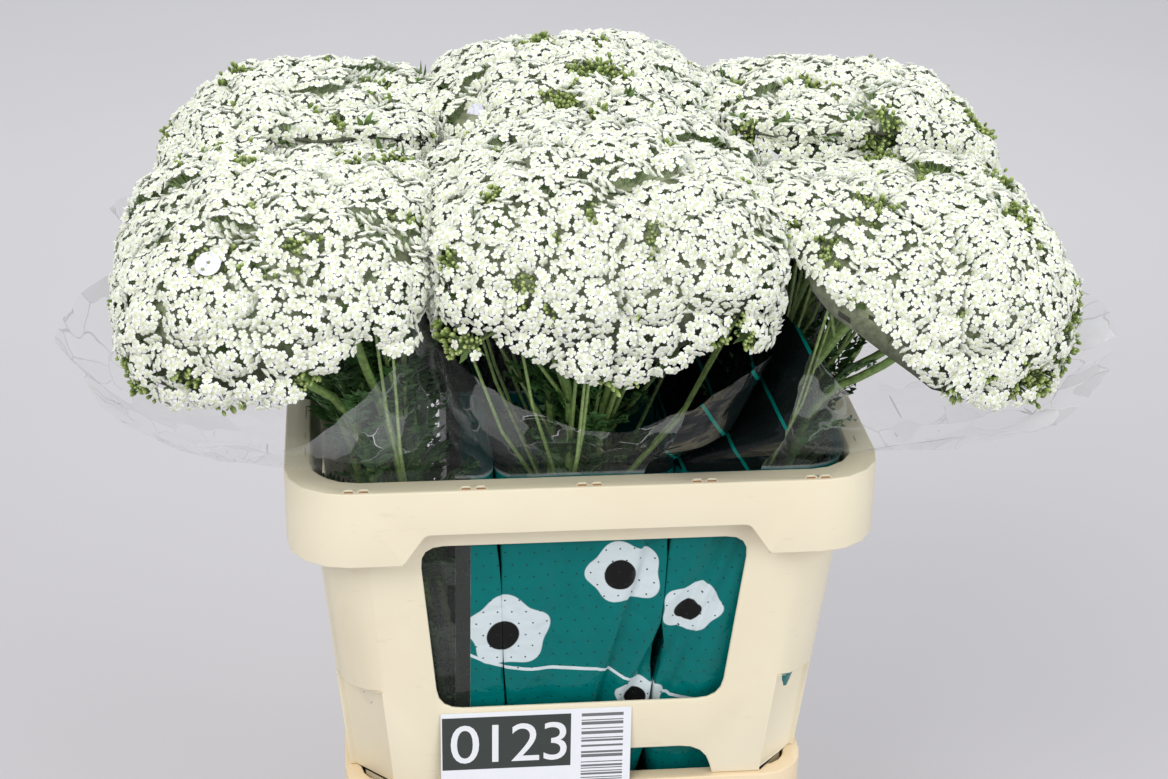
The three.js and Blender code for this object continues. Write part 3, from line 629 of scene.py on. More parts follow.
def apart(points, gap):
    """Which of the points to keep so that no two are nearer than gap; earlier ones win."""
    cells, kept = {}, []
    keys = np.floor(points / gap).astype(int)
    around = [(i, j, k) for i in (-1, 0, 1) for j in (-1, 0, 1) for k in (-1, 0, 1)]
    for n, (p, key) in enumerate(zip(points.tolist(), keys.tolist())):
        clear = True
        for i, j, k in around:
            for q in cells.get((key[0] + i, key[1] + j, key[2] + k), ()):
                if (p[0] - q[0]) ** 2 + (p[1] - q[1]) ** 2 + (p[2] - q[2]) ** 2 < gap * gap:
                    clear = False
                    break
            if not clear:
                break
        if clear:
            cells.setdefault(tuple(key), []).append(p)
            kept.append(n)
    return np.array(kept)


def spots_on_dome(bunch, count, gap, rng):
    """Shares and angles of spots spread evenly over a head."""
    share, angle = rng.uniform(0.005, 1.12, 4 * count), rng.uniform(-math.pi, math.pi, 4 * count)
    share = np.where((share > 1) & (walled(pressed(bunch, angle)) < 0.5), share - 0.5, share)
    here = bloom_point(bunch, share, angle)
    ahead = bloom_point(bunch, share + 0.004, angle) - here
    aside = bloom_point(bunch, share, angle + 0.004) - here
    area = np.linalg.norm(np.cross(ahead, aside), axis=1)
    chosen = rng.choice(len(share), count, replace=False, p=area / area.sum())
    share, angle = share[chosen], angle[chosen]
    kept = apart(bloom_point(bunch, share, angle), gap)
    return share[kept], angle[kept]


def plate_of(share, angle):
    """Which of a head's seven plates a spot is on: 0 is the middle one."""
    sector = np.floor((angle + math.pi / 6) / (math.pi / 3)).astype(int) % 6
    return np.where(share < MIDDLE_SHARE, 0, sector + 1)


def turned(up, spin):
    """Frames whose third axis is up, spun by an angle: one 3 x 3 matrix each, as columns."""
    reference = np.where(np.abs(up[:, 2:3]) < 0.9, [[0, 0, 1.0]], [[1.0, 0, 0]])
    side = np.cross(reference, up)
    side /= np.linalg.norm(side, axis=1, keepdims=True)
    other = np.cross(up, side)
    c, s = np.cos(spin)[:, None], np.sin(spin)[:, None]
    return np.stack([side * c + other * s, other * c - side * s, up], 2)


def scatter(growth, shape, places, ups, sizes, spins, tones):
    """Copies of a shape at places."""
    points, faces, tints = shape
    frames = turned(ups, spins)
    made = places[:, None] + np.einsum("nij,vj->nvi", frames, points) * sizes[:, None, None]
    index = (faces[None] + len(points) * np.arange(len(places))[:, None, None]).reshape(-1, 3)
    shades = (tints[None] * tones[:, None, None]).reshape(-1, 3)
    growth.add(made.reshape(-1, 3), index, shades)


# where a head still shows a green patch of closed buds: share, angle, size in mm
GREEN_SPOTS = {
    "front_left": [(0.95, -2.6, 20), (0.9, 3.0, 14), (0.62, 1.9, 9)],
    "front_middle": [(0.75, -2.5, 9), (0.9, -0.9, 11), (0.35, 1.2, 8)],
    "front_right": [(0.72, 0.3, 22), (0.9, -0.9, 14), (0.35, -2.4, 8)],
    "back_left": [(0.82, 3.0, 26), (0.7, -1.2, 9)],
    "back_middle": [(0.6, -1.8, 14), (0.55, 2.2, 12)],
    "back_right": [(0.75, -0.65, 17), (0.6, 2.3, 14), (0.5, -2.5, 9)],
}
florets = [floret(seed) for seed in range(4)]
closed_bud = bud()

for number_of, bunch in enumerate(BUNCHES):
    rng = np.random.default_rng(40 + number_of)
    hub_share, hub_angle = spots_on_dome(bunch, 2600, CUSHION_APART, rng)
    hub_up = up_from(bloom_point, bunch, hub_share, hub_angle)
    hub = bloom_point(bunch, hub_share, hub_angle)
    hub_plate = plate_of(hub_share, hub_angle)
    share, angle = spots_on_dome(bunch, 19000, FLORET_APART, rng)
    here, up = bloom_point(bunch, share, angle), up_from(bloom_point, bunch, share, angle)
    plate = plate_of(share, angle)
    away = np.linalg.norm(here[:, None] - hub[None], axis=2) + 60 * (plate[:, None] != hub_plate[None])
    order = np.argsort(away, axis=1)
    nearest, second = away[np.arange(len(here)), order[:, 0]], away[np.arange(len(here)), order[:, 1]]
    own = order[:, 0]
    seam = np.clip(1 - (second - nearest) / 5.0, 0, 1)
    depth = np.array([BUMP * math.sin(2.4 * k + 1.7 * bunch["column"] + 0.9 * bunch["row"])
                      for k in range(PLATES)])[plate]
    here = focus(bunch) + (here - focus(bunch)) * (1 - depth[:, None])
    bulge = CUSHION_RISE * (1 - np.minimum(nearest / 14, 1) ** 2)
    here = here + up * (bulge - 2.5 - 1.3 * seam + rng.normal(0, 0.8, len(here)))[:, None]
    tangent = here - hub[own]
    tangent -= up * (tangent * up).sum(1)[:, None]
    lean = up + 0.042 * tangent + rng.normal(0, 0.16, here.shape)
    lean /= np.linalg.norm(lean, axis=1, keepdims=True)
    patch = np.array([noise.noise(Vector(p) * 0.028) + 0.6 * noise.noise(Vector(p) * 0.075)
                      for p in here.tolist()])
    free = 1 - met(bunch, angle)
    green = patch + 0.34 * np.clip((share - 0.8) / 0.2, 0, 1) * free + 0.2 * seam + rng.normal(0, 0.06, len(here))
    for spot_share, spot_angle, spot_size in GREEN_SPOTS[bunch["name"]]:
        spot = bloom_point(bunch, spot_share, spot_angle)
        green += 0.75 * np.exp(-((here - spot) ** 2).sum(1) / spot_size ** 2)
    is_bud = green > 0.58
    gone = (seam > 0.8) & (rng.random(len(here)) < 0.12)
    for disc_middle, disc_up in stickers:
        over = here - disc_middle
        above_disc = over @ disc_up
        under = (np.linalg.norm(over - np.outer(above_disc, disc_up), axis=1) < 15) & (np.abs(above_disc) < 20)
        here[under] -= np.outer(np.maximum(above_disc[under] + 3.0, 0), disc_up)
        lean[under] = disc_up
    spin, size = rng.uniform(0, 2 * math.pi, len(here)), rng.uniform(0.86, 1.08, len(here))
    tone = rng.uniform(0.93, 1.05, len(here))
    kind = rng.integers(0, len(florets), len(here))
    joint = hub - hub_up * CUSHION_DEPTH

    for k in range(PLATES):
        node = f"yarrow_{bunch['name']}_{k + 1}"
        flowers = Growth()
        stalk = Growth()
        for n, shape in enumerate(florets):
            pick = (plate == k) & (kind == n) & ~is_bud & ~gone
            scatter(flowers, shape, here[pick], lean[pick], size[pick], spin[pick], tone[pick])
        budding = (plate == k) & is_bud & ~gone
        for n in range(4):
            shift = rng.normal(0, 1.9, (budding.sum(), 3)) + lean[budding] * rng.uniform(-3.0, 0.5)
            scatter(flowers, closed_bud, here[budding] + shift, lean[budding],
                    rng.uniform(1.0, 1.5, budding.sum()), spin[budding] + n, rng.uniform(0.7, 1.25, budding.sum()))

        # short stalks from each flower head down to the joint under its cushion
        held = (plate == k) & ~gone
        foot = here[held] - lean[held] * 3.0
        frames = turned(lean[held], spin[held])
        corners = []
        for n in range(3):
            a = 2 * math.pi * n / 3
            corners.append(foot + 0.55 * (frames[:, :, 0] * math.cos(a) + frames[:, :, 1] * math.sin(a)))
        spikes = np.stack(corners + [joint[own[held]]], 1)
        index = np.array([[0, 1, 2], [0, 3, 1], [1, 3, 2], [2, 3, 0]])
        index = (index[None] + 4 * np.arange(len(foot))[:, None, None]).reshape(-1, 3)
        shade = np.array([RAY_GREEN, RAY_GREEN, RAY_GREEN, STEM_DARK])
        stalk.add(spikes.reshape(-1, 3), index, np.tile(shade, (len(foot), 1)))

        # the stalk, its rays to each cushion, and small dark bracts round every joint
        path = stem_path(bunch, k)
        path[1:-3] += np.stack([1.2 * np.sin(np.arange(len(path) - 4) * 0.8 + k), 0 * path[1:-3, 0],
                                0 * path[1:-3, 0]], 1)
        stalk.rod(path, STEM_RADII, 9, STEM_DARK, STEM_GREEN)
        for c in np.flatnonzero(hub_plate == k):
            # some rays leave the stalk low down, as long as they don't lean out over the rim
            step = int(rng.integers(1, 10))
            while step > 1 and math.hypot(*(joint[c] - path[-1 - step])[:2]) > 0.62 * (joint[c] - path[-1 - step])[2]:
                step -= 1
            start = path[-1 - step]
            ray = joint[c] - start
            bow = start + 0.55 * ray + np.array([0, 0, -0.1 * np.linalg.norm(ray)])
            stalk.rod(np.array([start, bow, joint[c] + hub_up[c] * 2]), [1.7, 1.0], 5, STEM_GREEN, RAY_GREEN)
            turns = rng.uniform(0, 2 * math.pi, 9)
            basis = turned(hub_up[c][None], np.zeros(1))[0]
            outward = np.outer(np.cos(turns), basis[:, 0]) + np.outer(np.sin(turns), basis[:, 1])
            roots = joint[c] + hub_up[c] * rng.uniform(1, 7, (9, 1))
            stalk.blades(roots, roots + outward * rng.uniform(9, 15, (9, 1)) + hub_up[c] * 2,
                         np.tile(hub_up[c], (9, 1)), 4.5,
                         np.array(BRACT_GREEN) * rng.uniform(0.6, 1.7, (9, 1)))

        # the mass of small leaves under the plate, as a closed sheet which closes the view between the flowers; it is
        # painted darker toward the head's edge and on its underside, as painted shade
        grid = 8
        if k == 0:
            s, a = np.meshgrid(np.linspace(0.02, 0.27, 4), np.linspace(-math.pi, math.pi, 13)[:-1], indexing="ij")
        else:
            middle_turn = math.pi / 3 * (k - 1)
            s, a = np.meshgrid(np.linspace(0.25, 0.97, grid),
                               np.linspace(middle_turn - 0.54, middle_turn + 0.54, grid), indexing="ij")
        skin_up, skin = up_from(bloom_point, bunch, s, a), bloom_point(bunch, s, a)
        rough = np.array([noise.noise(Vector(p) * 0.11) for p in skin.reshape(-1, 3).tolist()])
        skin = skin - skin_up * (8.5 + 0.3 * k + 3 * rough.reshape(s.shape))[..., None]
        rows, columns = s.shape
        both = np.stack([skin, skin - skin_up * 1.2])
        # painted shade: the sheet grows darker toward the head's edge
        edge_painted_shade = np.clip((s.ravel()[:, None] - 0.72) / 0.2, 0, 1)
        tones = np.array(UNDER_GREEN) * (1 + 0.9 * rough[:, None]) * (1 - 0.8 * edge_painted_shade)
        around_too = k == 0
        quads, last = [], columns if around_too else columns - 1
        for i in range(rows - 1):
            for j in range(last):
                p, q = i * columns + j, i * columns + (j + 1) % columns
                quads += [(p, p + columns, q + columns, q)]
        half = rows * columns
        edges = [(j, (j + 1) % columns) for j in range(last)]
        closing = [(a1, b1, b1 + half, a1 + half) for a1, b1 in edges]
        closing += [(b1 + half - columns + half, b1 + half - columns, a1 + half - columns, a1 + half - columns + half)
                    for a1, b1 in edges]
        closing = [(q[3], q[2], q[1], q[0]) if n < len(edges) else q for n, q in enumerate(closing)]
        closing = [tuple(reversed(q)) for q in closing]
        if not around_too:
            for i in range(rows - 1):
                p, q = i * columns, (i + 1) * columns
                closing.append((p, p + half, q + half, q))
                p, q = p + columns - 1, q + columns - 1
                closing.append((q, q + half, p + half, p))
        under = [tuple(v + half for v in reversed(q)) for q in quads]
        split = [t for a1, b1, c1, d1 in quads + under + closing for t in ((a1, b1, c1), (a1, c1, d1))]
        # the underside is a painted shaded copy, at a quarter of the top's tone
        stalk.add(both.reshape(-1, 3), split, np.vstack([tones, 0.25 * tones]))

        # feathery leaves up the stalk, from the bucket's rim to below the head
        levels = np.arange(len(path))
        for z in np.hstack([np.arange(318, 500, 42), np.arange(500, 625, 13)]) + rng.uniform(-6, 6):
            turn = rng.uniform(0, 2 * math.pi)
            root = np.array([np.interp(z, path[:, 2], path[:, n]) for n in range(3)])
            feather_leaf(stalk, root, np.array([math.cos(turn), math.sin(turn), 0]), rng.uniform(50, 84), rng)

        blooms = flowers.piece(f"flowers_{bunch['name']}_{k + 1}", white_tissue)
        greens = stalk.piece(f"stalk_{bunch['name']}_{k + 1}", green_tissue)
        for made in (blooms, greens):
            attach(made, "root")
            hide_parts(node)


# ---------------------------------------------------------------------------------------------
# The sleeves: cones of 0.04 mm film, clear above and printed below, gathered under the band and
# open round the head. They crinkle, flare over the collar's rim and stand out at the row's ends.
# ---------------------------------------------------------------------------------------------
NECK = 13.6
SLEEVE_FOOT, BAND_LEVEL = 92, 130
SLEEVE_CLEAR, SLEEVE_UNDER, WING, WING_RISE = 1.5, 13, 25, 42
AROUND = 108
SLEEVE_APART = 0.3


def sleeve_top(bunch, angle):
    """The film's upper edge: just under the head, with a raised wing at the row's end."""
    wing = np.maximum(0, bunch["column"] * np.cos(angle)) ** 2
    low = np.minimum(dome_point(bunch, 1, angle)[:, 2],
                     shell_point(bunch, np.ones_like(angle), angle, SHELL + BUMP)[:, 2])
    reach = (plan_radius(bunch["half_x"], bunch["half_y"], angle, SQUARE)
             + SLEEVE_CLEAR * (1 - 2 * met(bunch, angle)) + WING * wing)
    return np.stack([bunch["x"] + reach * np.cos(angle), bunch["y"] + reach * np.sin(angle),
                     low - SLEEVE_UNDER + WING_RISE * wing], 1)


def sleeve_rings(bunch, angle):
    levels = [(SLEEVE_FOOT, NECK + 6, NECK + 6, 2), (BAND_LEVEL - 6, NECK, NECK, 2),
              (BAND_LEVEL + 6, NECK, NECK, 2), (215, 39, 41, 2.4), (312, 52, 54, 3.6), (400, 58.5, 65, 6),
              (500, 62.5, 69, 6), (COLLAR_TOP, 62, 69.5, 4)]
    rings = []
    for z, half_x, half_y, square in levels:
        spare = 9 * (z > 300) * (1 - np.clip(2 * bunch["column"] * np.cos(angle), 0, 1))
        reach = plan_radius(half_x + spare, half_y + spare, angle, square)
        middle = axis_at(bunch, z)
        x = middle[0] + reach * np.cos(angle)
        y = middle[1] + np.clip(reach * np.sin(angle), -half_y, half_y)
        pitch = np.interp(z, AXIS_LEVELS[:, 0], AXIS_LEVELS[:, 1])
        if bunch["column"]:
            x = bunch["column"] * np.maximum(bunch["column"] * x, pitch / 2 + SLEEVE_APART)
        else:
            x = np.clip(x, SLEEVE_APART - pitch / 2, pitch / 2 - SLEEVE_APART)
        y = bunch["row"] * np.maximum(bunch["row"] * y, 1.5)
        rings.append(np.stack([x, y, np.full_like(angle, z)], 1))
    rim, top = rings[-1], sleeve_top(bunch, angle)
    for z, part in ((COLLAR_TOP + 14, 0.16), (COLLAR_TOP + 42, 0.64)):
        ring = rim + part * (top - rim)
        ring[:, 2] = np.minimum(z, rim[:, 2] + (0.35 + 0.65 * part) * (top[:, 2] - rim[:, 2]))
        rings.append(ring)
    return np.array(rings + [top])


# long folds of the film behind the window: place at the window's middle, slope, width and depth
SLEEVE_FOLDS = [(38, 0.22, 5, 9), (74, 0.42, 6, 8), (92, 0.38, 4, 6), (-20, 0.1, 9, 3), (8, -0.12, 7, 3)]
film_parts = []
for number_of, bunch in enumerate(BUNCHES):
    angle = 2 * math.pi * np.arange(AROUND) / AROUND
    rings = sleeve_rings(bunch, angle)
    padded = np.concatenate([2 * rings[:1] - rings[1:2], rings, 2 * rings[-1:] - rings[-2:-1]])
    rows = []
    for a, b, c, d in zip(padded, padded[1:], padded[2:], padded[3:]):
        steps = 5
        for t in np.arange(steps) / steps:
            smooth = 0.5 * (2 * b + (c - a) * t + (2 * a - 5 * b + 4 * c - d) * t ** 2
                            + (3 * b - a - 3 * c + d) * t ** 3)
            rows.append(0.55 * smooth + 0.45 * (b + (c - b) * t))
    rows.append(rings[-1])
    rows = np.array(rows)
    centre = rows.mean(axis=1, keepdims=True)
    outward = rows - centre
    outward[..., 2] = 0
    outward /= np.maximum(np.linalg.norm(outward, axis=2, keepdims=True), 1e-6)
    z = rows[..., 2]
    gather = 1.6 * np.exp(-((z - BAND_LEVEL) / 60) ** 2) * np.sin(15 * angle + 0.01 * z)
    crease_and_painted_shade = np.zeros_like(z)
    seed = Vector((7.3 * number_of, 3.1, 1.7))
    for i, row in enumerate(rows.tolist()):
        for j, p in enumerate(row):
            q = Vector(p)
            long_fold = noise.noise(Vector((q.x * 0.045, q.y * 0.045, q.z * 0.011)) + seed)
            crumple = abs(noise.noise(Vector((q.x * 0.05, q.y * 0.05, q.z * 0.06)) - seed))
            fine = abs(noise.noise(Vector((q.x * 0.14, q.y * 0.14, q.z * 0.12)) + seed))
            crease_and_painted_shade[i, j] = 5.0 * long_fold + 5.0 * (0.25 - crumple) + 1.6 * (0.2 - fine)
    upper = np.clip((z - COLLAR_TOP) / 60, 0, 1)
    amount = np.clip((z - 150) / 160, 0, 1) * (0.42 + 0.85 * upper)
    at_rim = np.exp(-((z - COLLAR_TOP) / 30) ** 2)
    swell = crease_and_painted_shade * amount * (1 - 0.6 * at_rim)
    swell = np.where(z < COLLAR_TOP - 8, np.minimum(swell, 1.2), swell)
    front = np.clip(-rows[..., 1] / 40 - 1.5, 0, 1) * np.clip((z - 330) / 40, 0, 1) * np.clip((560 - z) / 40, 0, 1)
    for start, slope, width, deep in SLEEVE_FOLDS:
        swell -= deep * front * np.exp(-((rows[..., 0] - start - slope * (z - 450)) / width) ** 2)
    rows = rows + outward * (gather + swell)[..., None]
    wavy = np.array([noise.noise(Vector((math.cos(a) * 2.4, math.sin(a) * 2.4, number_of))) for a in angle])
    rows[..., 2] += upper ** 2 * (9 * wavy)[None]
    tip = np.maximum(0, bunch["column"] * np.cos(angle - 0.12 * bunch["column"])) ** 22
    rows += (upper ** 3)[..., None] * tip[None, :, None] * np.array([bunch["column"] * 16.0, 0, -4.0])

    count = len(rows)
    film = Growth()
    i, j = np.arange(AROUND), (np.arange(AROUND) + 1) % AROUND
    faces = []
    for r in range(count - 1):
        low, high = r * AROUND, (r + 1) * AROUND
        faces += [np.stack([low + i, low + j, high + j], 1), np.stack([low + i, high + j, high + i], 1)]
    film.add(rows.reshape(-1, 3), np.vstack(faces), (1, 1, 1))
    film_parts.append((bunch, film))

clear_film, tree, shader, place = material_with_shader("printed_clear_film")
axes = put(tree, "ShaderNodeSeparateXYZ", {"Vector": place}).outputs
x, y, z = axes["X"], axes["Y"], axes["Z"]


def disc(tree, centre_x, centre_z, radius, waviness, lobes):
    """1 inside an uneven lobed patch of the print."""
    across, up = sums(tree, "SUBTRACT", x, centre_x), sums(tree, "SUBTRACT", z, centre_z)
    far = sums(tree, "SQRT", sums(tree, "ADD", sums(tree, "POWER", across, 2.0), sums(tree, "POWER", up, 2.0)))
    around = sums(tree, "MULTIPLY_ADD", sums(tree, "ARCTAN2", up, across), lobes, 60 * centre_x)
    far = sums(tree, "MULTIPLY_ADD", sums(tree, "SINE", around), 0.09 * radius, far)
    uneven = sums(tree, "MULTIPLY_ADD", cloudy(tree, place, 22.0, 0.0), waviness, far)
    return ramp(tree, uneven, radius + 0.5 * waviness + 0.4 * MM, radius + 0.5 * waviness - 0.4 * MM)


below = ramp(tree, z, 0.577, 0.573)
printed_side = ramp(tree, x, -0.0832, -0.0828)
# painted shade: a dark, nearly opaque strip just left of the print's edge, below the collar's top, where light would
# show through between the sleeves
gap_shade_strip = inside(tree, x, -0.094, -0.083)
teal_area = sums(tree, "MULTIPLY", below, printed_side)
slant = sums(tree, "MULTIPLY_ADD", z, -0.22, x)
black_area = sums(tree, "MULTIPLY", inside(tree, slant, -0.085, 0.0), inside(tree, z, 0.573, 0.745))
black_area = sums(tree, "MULTIPLY", black_area, ramp(tree, y, 0.0, -0.01))
back_dark = sums(tree, "MULTIPLY", inside(tree, y, 0.0, 0.07), inside(tree, z, 0.573, 0.69))
black_area = sums(tree, "MAXIMUM", black_area, sums(tree, "MULTIPLY", back_dark, inside(tree, x, -0.2, 0.2)))
pale, dark = None, None
for centre_x, centre_z, radius in ((-0.056, 0.437, 0.03), (0.03, 0.487, 0.027), (0.083, 0.452, 0.021), (0.046, 0.372, 0.017),
                                   (-0.152, 0.43, 0.024), (0.16, 0.47, 0.026)):
    whole = disc(tree, centre_x, centre_z, radius, 0.012, 5.0)
    heart = disc(tree, centre_x - 0.003, centre_z - 0.002, radius * 0.42, 0.009, 2.0)
    pale = whole if pale is None else sums(tree, "MAXIMUM", pale, whole)
    dark = heart if dark is None else sums(tree, "MAXIMUM", dark, heart)
slope = sums(tree, "MULTIPLY_ADD", x, -0.28, 0.396)
wave = sums(tree, "MULTIPLY_ADD", sums(tree, "SINE", sums(tree, "MULTIPLY_ADD", x, 46.0, 1.0)), 0.006, slope)
line = sums(tree, "LESS_THAN", sums(tree, "ABSOLUTE", sums(tree, "SUBTRACT", z, wave)), 0.0015)
pale = sums(tree, "MAXIMUM", pale, line)
teal_tone = blended(tree, cloudy(tree, place, 30.0), (0.0, 0.13, 0.125, 1), (0.0, 0.175, 0.165, 1))
print_tone = blended(tree, pale, teal_tone, (0.62, 0.7, 0.72, 1))
print_tone = blended(tree, dark, print_tone, (0.008, 0.008, 0.008, 1))
streak = sums(tree, "MULTIPLY_ADD", z, 0.55, x)
teal_line = sums(tree, "LESS_THAN", sums(tree, "ABSOLUTE", sums(
    tree, "SUBTRACT", sums(tree, "FRACT", sums(tree, "MULTIPLY", streak, 22.0)), 0.5)), 0.03)
black_tone = blended(tree, teal_line, (0.006, 0.009, 0.009, 1), (0.0, 0.16, 0.13, 1))
opaque = sums(tree, "MAXIMUM", teal_area, black_area)
tone = blended(tree, black_area, print_tone, black_tone)
# rows of tiny holes, staggered, painted as dark dots: the shade seen through them
row_z = sums(tree, "MULTIPLY", z, 1 / 0.0105)
odd = sums(tree, "MULTIPLY", sums(tree, "FLOORED_MODULO", sums(tree, "FLOOR", row_z), 2.0), 0.5)
hole_x = sums(tree, "SUBTRACT", sums(tree, "FRACT", sums(tree, "MULTIPLY_ADD", x, 1 / 0.0105, odd)), 0.5)
hole_z = sums(tree, "SUBTRACT", sums(tree, "FRACT", row_z), 0.5)
hole_far = sums(tree, "SQRT", sums(tree, "ADD", sums(tree, "POWER", hole_x, 2.0), sums(tree, "POWER", hole_z, 2.0)))
hole_shade = sums(tree, "LESS_THAN", hole_far, 0.065)
hole_shade = sums(tree, "MULTIPLY", hole_shade, ramp(tree, z, 0.62, 0.58))
# painted light on the clear film: fine white painted glints along some creases, dark painted shade lines along the
# others, and facets painted grey or near-white as painted reflection
bent = put(tree, "ShaderNodeVectorMath", {
    0: put(tree, "ShaderNodeTexNoise", {"Vector": place, "Scale": 20.0}).outputs["Color"],
    1: (0.045, 0.045, 0.045), 2: place}, {"operation": "MULTIPLY_ADD"}).outputs[0]
facets = put(tree, "ShaderNodeTexVoronoi", {"Vector": bent, "Scale": 34.0},
             {"feature": "DISTANCE_TO_EDGE"}).outputs["Distance"]
facet_painted_light = put(tree, "ShaderNodeSeparateXYZ", {"Vector": put(
    tree, "ShaderNodeTexVoronoi", {"Vector": bent, "Scale": 34.0}).outputs["Color"]}).outputs
upper_film = ramp(tree, z, 0.58, 0.64)
patchy = sums(tree, "MULTIPLY", ramp(tree, cloudy(tree, place, 24.0, 1.0), 0.5, 0.66), upper_film)
# white painted glint lines along the creases in the glinting patches
glint = sums(tree, "MULTIPLY", ramp(tree, facets, 0.02, 0.004), patchy)
# dark painted shade lines along the creases that have no glint
crease_and_painted_shade = sums(tree, "MULTIPLY", ramp(tree, facets, 0.03, 0.004), sums(tree, "SUBTRACT", upper_film, patchy))
pane = sums(tree, "MULTIPLY", ramp(tree, facet_painted_light["X"], 0.5, 1.0), upper_film)
haze = sums(tree, "MULTIPLY_ADD", pane, 0.22, sums(tree, "MULTIPLY_ADD", cloudy(tree, place, 16.0), 0.06, 0.02))
clear_alpha = sums(tree, "MAXIMUM", haze, sums(tree, "MULTIPLY", glint, 0.8))
clear_alpha = sums(tree, "MAXIMUM", clear_alpha, sums(tree, "MULTIPLY", crease_and_painted_shade, 0.4))
# the clear film's colour is all painted light: facets grey or near-white as painted reflection, then painted shade on
# the creases and white painted glints
clear_painted_light = blended(tree, ramp(tree, facet_painted_light["Y"], 0.35, 0.65), (0.42, 0.44, 0.42, 1), (0.92, 0.94, 0.94, 1))
clear_painted_light = blended(tree, crease_and_painted_shade, clear_painted_light, (0.3, 0.32, 0.3, 1))
clear_painted_light = blended(tree, glint, clear_painted_light, (0.98, 0.98, 0.98, 1))
# the strip's painted shade
clear_painted_light = blended(tree, sums(tree, "MULTIPLY", gap_shade_strip, below), clear_painted_light, (0.03, 0.035, 0.03, 1))
tone = blended(tree, opaque, clear_painted_light, tone)
# the holes' dark colour is painted shade
tree.links.new(blended(tree, hole_shade, tone, (0.01, 0.03, 0.03, 1)), shader.inputs["Base Color"])
clear_alpha = sums(tree, "MAXIMUM", clear_alpha, sums(tree, "MULTIPLY", sums(tree, "MULTIPLY", gap_shade_strip, below), 0.85))
clear_alpha = sums(tree, "MAXIMUM", clear_alpha, sums(tree, "MULTIPLY", hole_shade, 0.5))
tree.links.new(sums(tree, "MAXIMUM", clear_alpha, sums(tree, "MULTIPLY", opaque, 0.985)), shader.inputs["Alpha"])
tree.links.new(sums(tree, "MULTIPLY_ADD", cloudy(tree, place, 80.0), 0.12, 0.08), shader.inputs["Roughness"])
relief = sums(tree, "MULTIPLY_ADD", facets, 1.4, cloudy(tree, place, 60.0, 3.0))
wrinkle = put(tree, "ShaderNodeBump", {"Height": relief, "Strength": 0.5, "Distance": 0.003})
tree.links.new(sums(tree, "MULTIPLY_ADD", opaque, -0.35, 0.5), shader.inputs["Specular IOR Level"])
tree.links.new(wrinkle.outputs[0], shader.inputs["Normal"])

for bunch, film in film_parts:
    sleeve = film.piece(f"film_{bunch['name']}", clear_film)
    sleeve.data.polygons.foreach_set("use_smooth", [True] * len(sleeve.data.polygons))
    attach(sleeve, "root")
    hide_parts(f"sleeve_{bunch['name']}")


# ---------------------------------------------------------------------------------------------
# The rubber bands: one round each bunch and the foot of its sleeve, tan natural rubber.
# The CAD bodies have the right shape; they get the rubber's dull, dusty finish.
# ---------------------------------------------------------------------------------------------
band_rubber, tree, shader, place = material_with_shader("tan_rubber")
tree.links.new(blended(tree, cloudy(tree, place, 140.0), (0.4, 0.22, 0.09, 1), (0.55, 0.34, 0.16, 1)),
               shader.inputs["Base Color"])
shader.inputs["Roughness"].default_value = 0.68
for bunch in BUNCHES:
    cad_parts[f"band_{bunch['name']}"].material_slots[0].material = band_rubber


# ---------------------------------------------------------------------------------------------
# Two round paper stickers on the flowers, white with a faint bluish mottle. The CAD discs have
# the right shape and get the paper.
# ---------------------------------------------------------------------------------------------
sticker_paper, tree, shader, place = material_with_shader("sticker_paper")
tree.links.new(blended(tree, ramp(tree, cloudy(tree, place, 330.0, 2.0), 0.5, 0.62),
                       (0.84, 0.85, 0.9, 1), (0.66, 0.68, 0.86, 1)), shader.inputs["Base Color"])
shader.inputs["Roughness"].default_value = 0.45
for disc_number in (1, 2):
    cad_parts[f"sticker_{disc_number}"].material_slots[0].material = sticker_paper


# ---------------------------------------------------------------------------------------------
# The studio: a pale grey floor, soft light from above and both sides, and the photo's camera.
# ---------------------------------------------------------------------------------------------
bpy.ops.mesh.primitive_plane_add(size=60, location=(0, 0, -0.0004))
floor = bpy.context.object
floor.name = "studio_floor"
bpy.ops.object.transform_apply(location=True)
floor_paint_and_light, tree, shader, place = material_with_shader("pale_floor_painted_light")
far_off = put(tree, "ShaderNodeSeparateXYZ", {"Vector": place}).outputs["Y"]
# painted light: the floor's grey grows lighter further back, with a soft random tone
tone = sums(tree, "MULTIPLY_ADD", ramp(tree, far_off, 0.4, 4.0), 0.8, sums(tree, "MULTIPLY", cloudy(tree, place, 1.2), 0.2))
tree.links.new(blended(tree, tone, (0.505, 0.49, 0.5, 1), (0.715, 0.705, 0.715, 1)), shader.inputs["Base Color"])
shader.inputs["Roughness"].default_value = 0.9
shader.inputs["Specular IOR Level"].default_value = 0.1
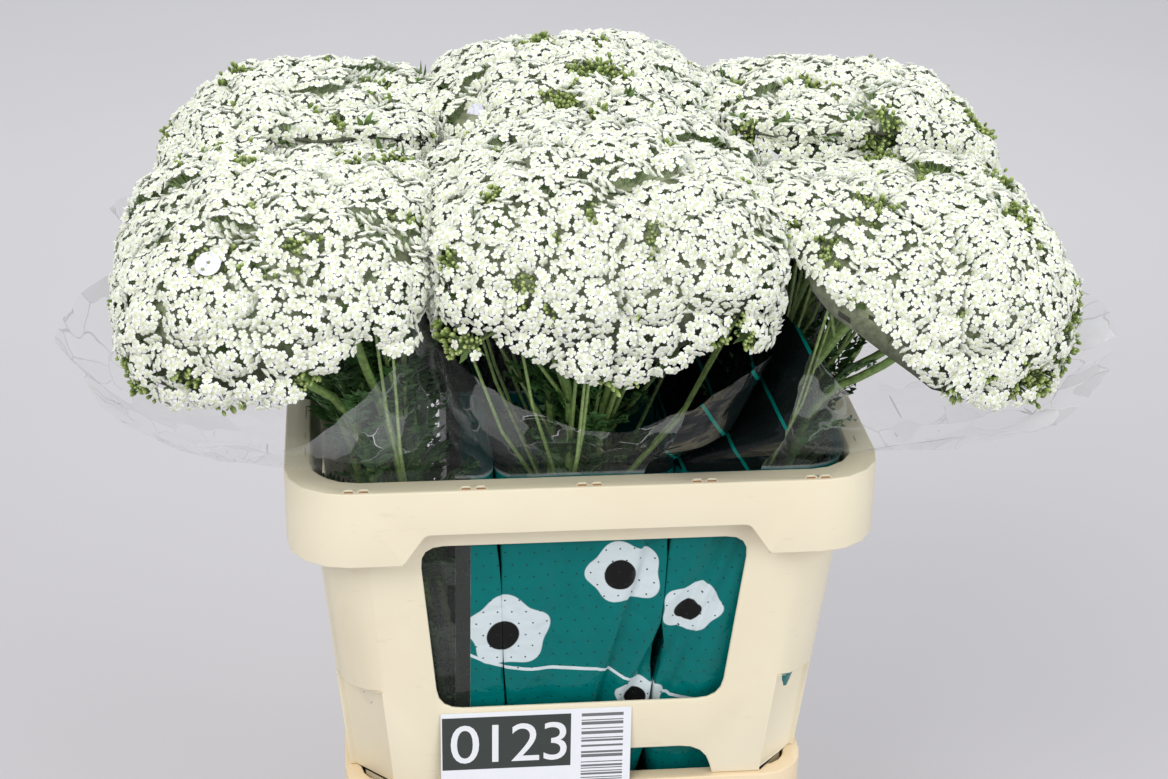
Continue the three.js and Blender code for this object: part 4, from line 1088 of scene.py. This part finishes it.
floor.data.materials.append(floor_paint_and_light)
floor.select_set(False)

world = bpy.data.worlds.new("studio_air")
world.use_nodes = True
world.node_tree.nodes["Background"].inputs["Color"].default_value = (0.93, 0.95, 1.0, 1)
world.node_tree.nodes["Background"].inputs["Strength"].default_value = 0.74
bpy.context.scene.world = world


def soft_light(name, place, size, power, tint):
    """A square lamp that faces the flowers."""
    lamp = bpy.data.lights.new(name, "AREA")
    lamp.size, lamp.energy, lamp.color = size, power, tint
    made = bpy.data.objects.new(name, lamp)
    made.location = place
    made.rotation_euler = (Vector((0, 0, 0.55)) - Vector(place)).to_track_quat("-Z", "Y").to_euler()
    bpy.context.collection.objects.link(made)


soft_light("key_light", (-1.5, -2.3, 2.9), 1.6, 57, (1.0, 0.985, 0.96))
soft_light("fill_light", (2.1, -2.2, 1.7), 1.8, 31, (0.96, 0.98, 1.0))
soft_light("back_light", (0.3, 2.0, 2.9), 1.6, 36, (1.0, 1.0, 1.0))

YAW, RISE, ROLL, DISTANCE = -0.111, math.radians(25), 0.019, 1.6981
AIM = Vector((0.01262 * math.cos(YAW), 0.01262 * math.sin(YAW), 0.5747))
back = Vector((math.sin(YAW) * math.cos(RISE), -math.cos(YAW) * math.cos(RISE), math.sin(RISE)))
right = Vector((math.cos(YAW), math.sin(YAW), 0))
above = back.cross(right)
right, above = (math.cos(ROLL) * right + math.sin(ROLL) * above,
                -math.sin(ROLL) * right + math.cos(ROLL) * above)
camera_data = bpy.data.cameras.new("photo_camera")
camera_data.sensor_width = 36
camera_data.lens = 36 * 2200 / 1168
camera_data.clip_end = 100
camera = bpy.data.objects.new("photo_camera", camera_data)
camera.matrix_world = Matrix((
    (right.x, above.x, back.x, AIM.x + back.x * DISTANCE),
    (right.y, above.y, back.y, AIM.y + back.y * DISTANCE),
    (right.z, above.z, back.z, AIM.z + back.z * DISTANCE),
    (0, 0, 0, 1)))
bpy.context.collection.objects.link(camera)
bpy.context.scene.camera = camera
bpy.context.scene.view_settings.view_transform = "Standard"
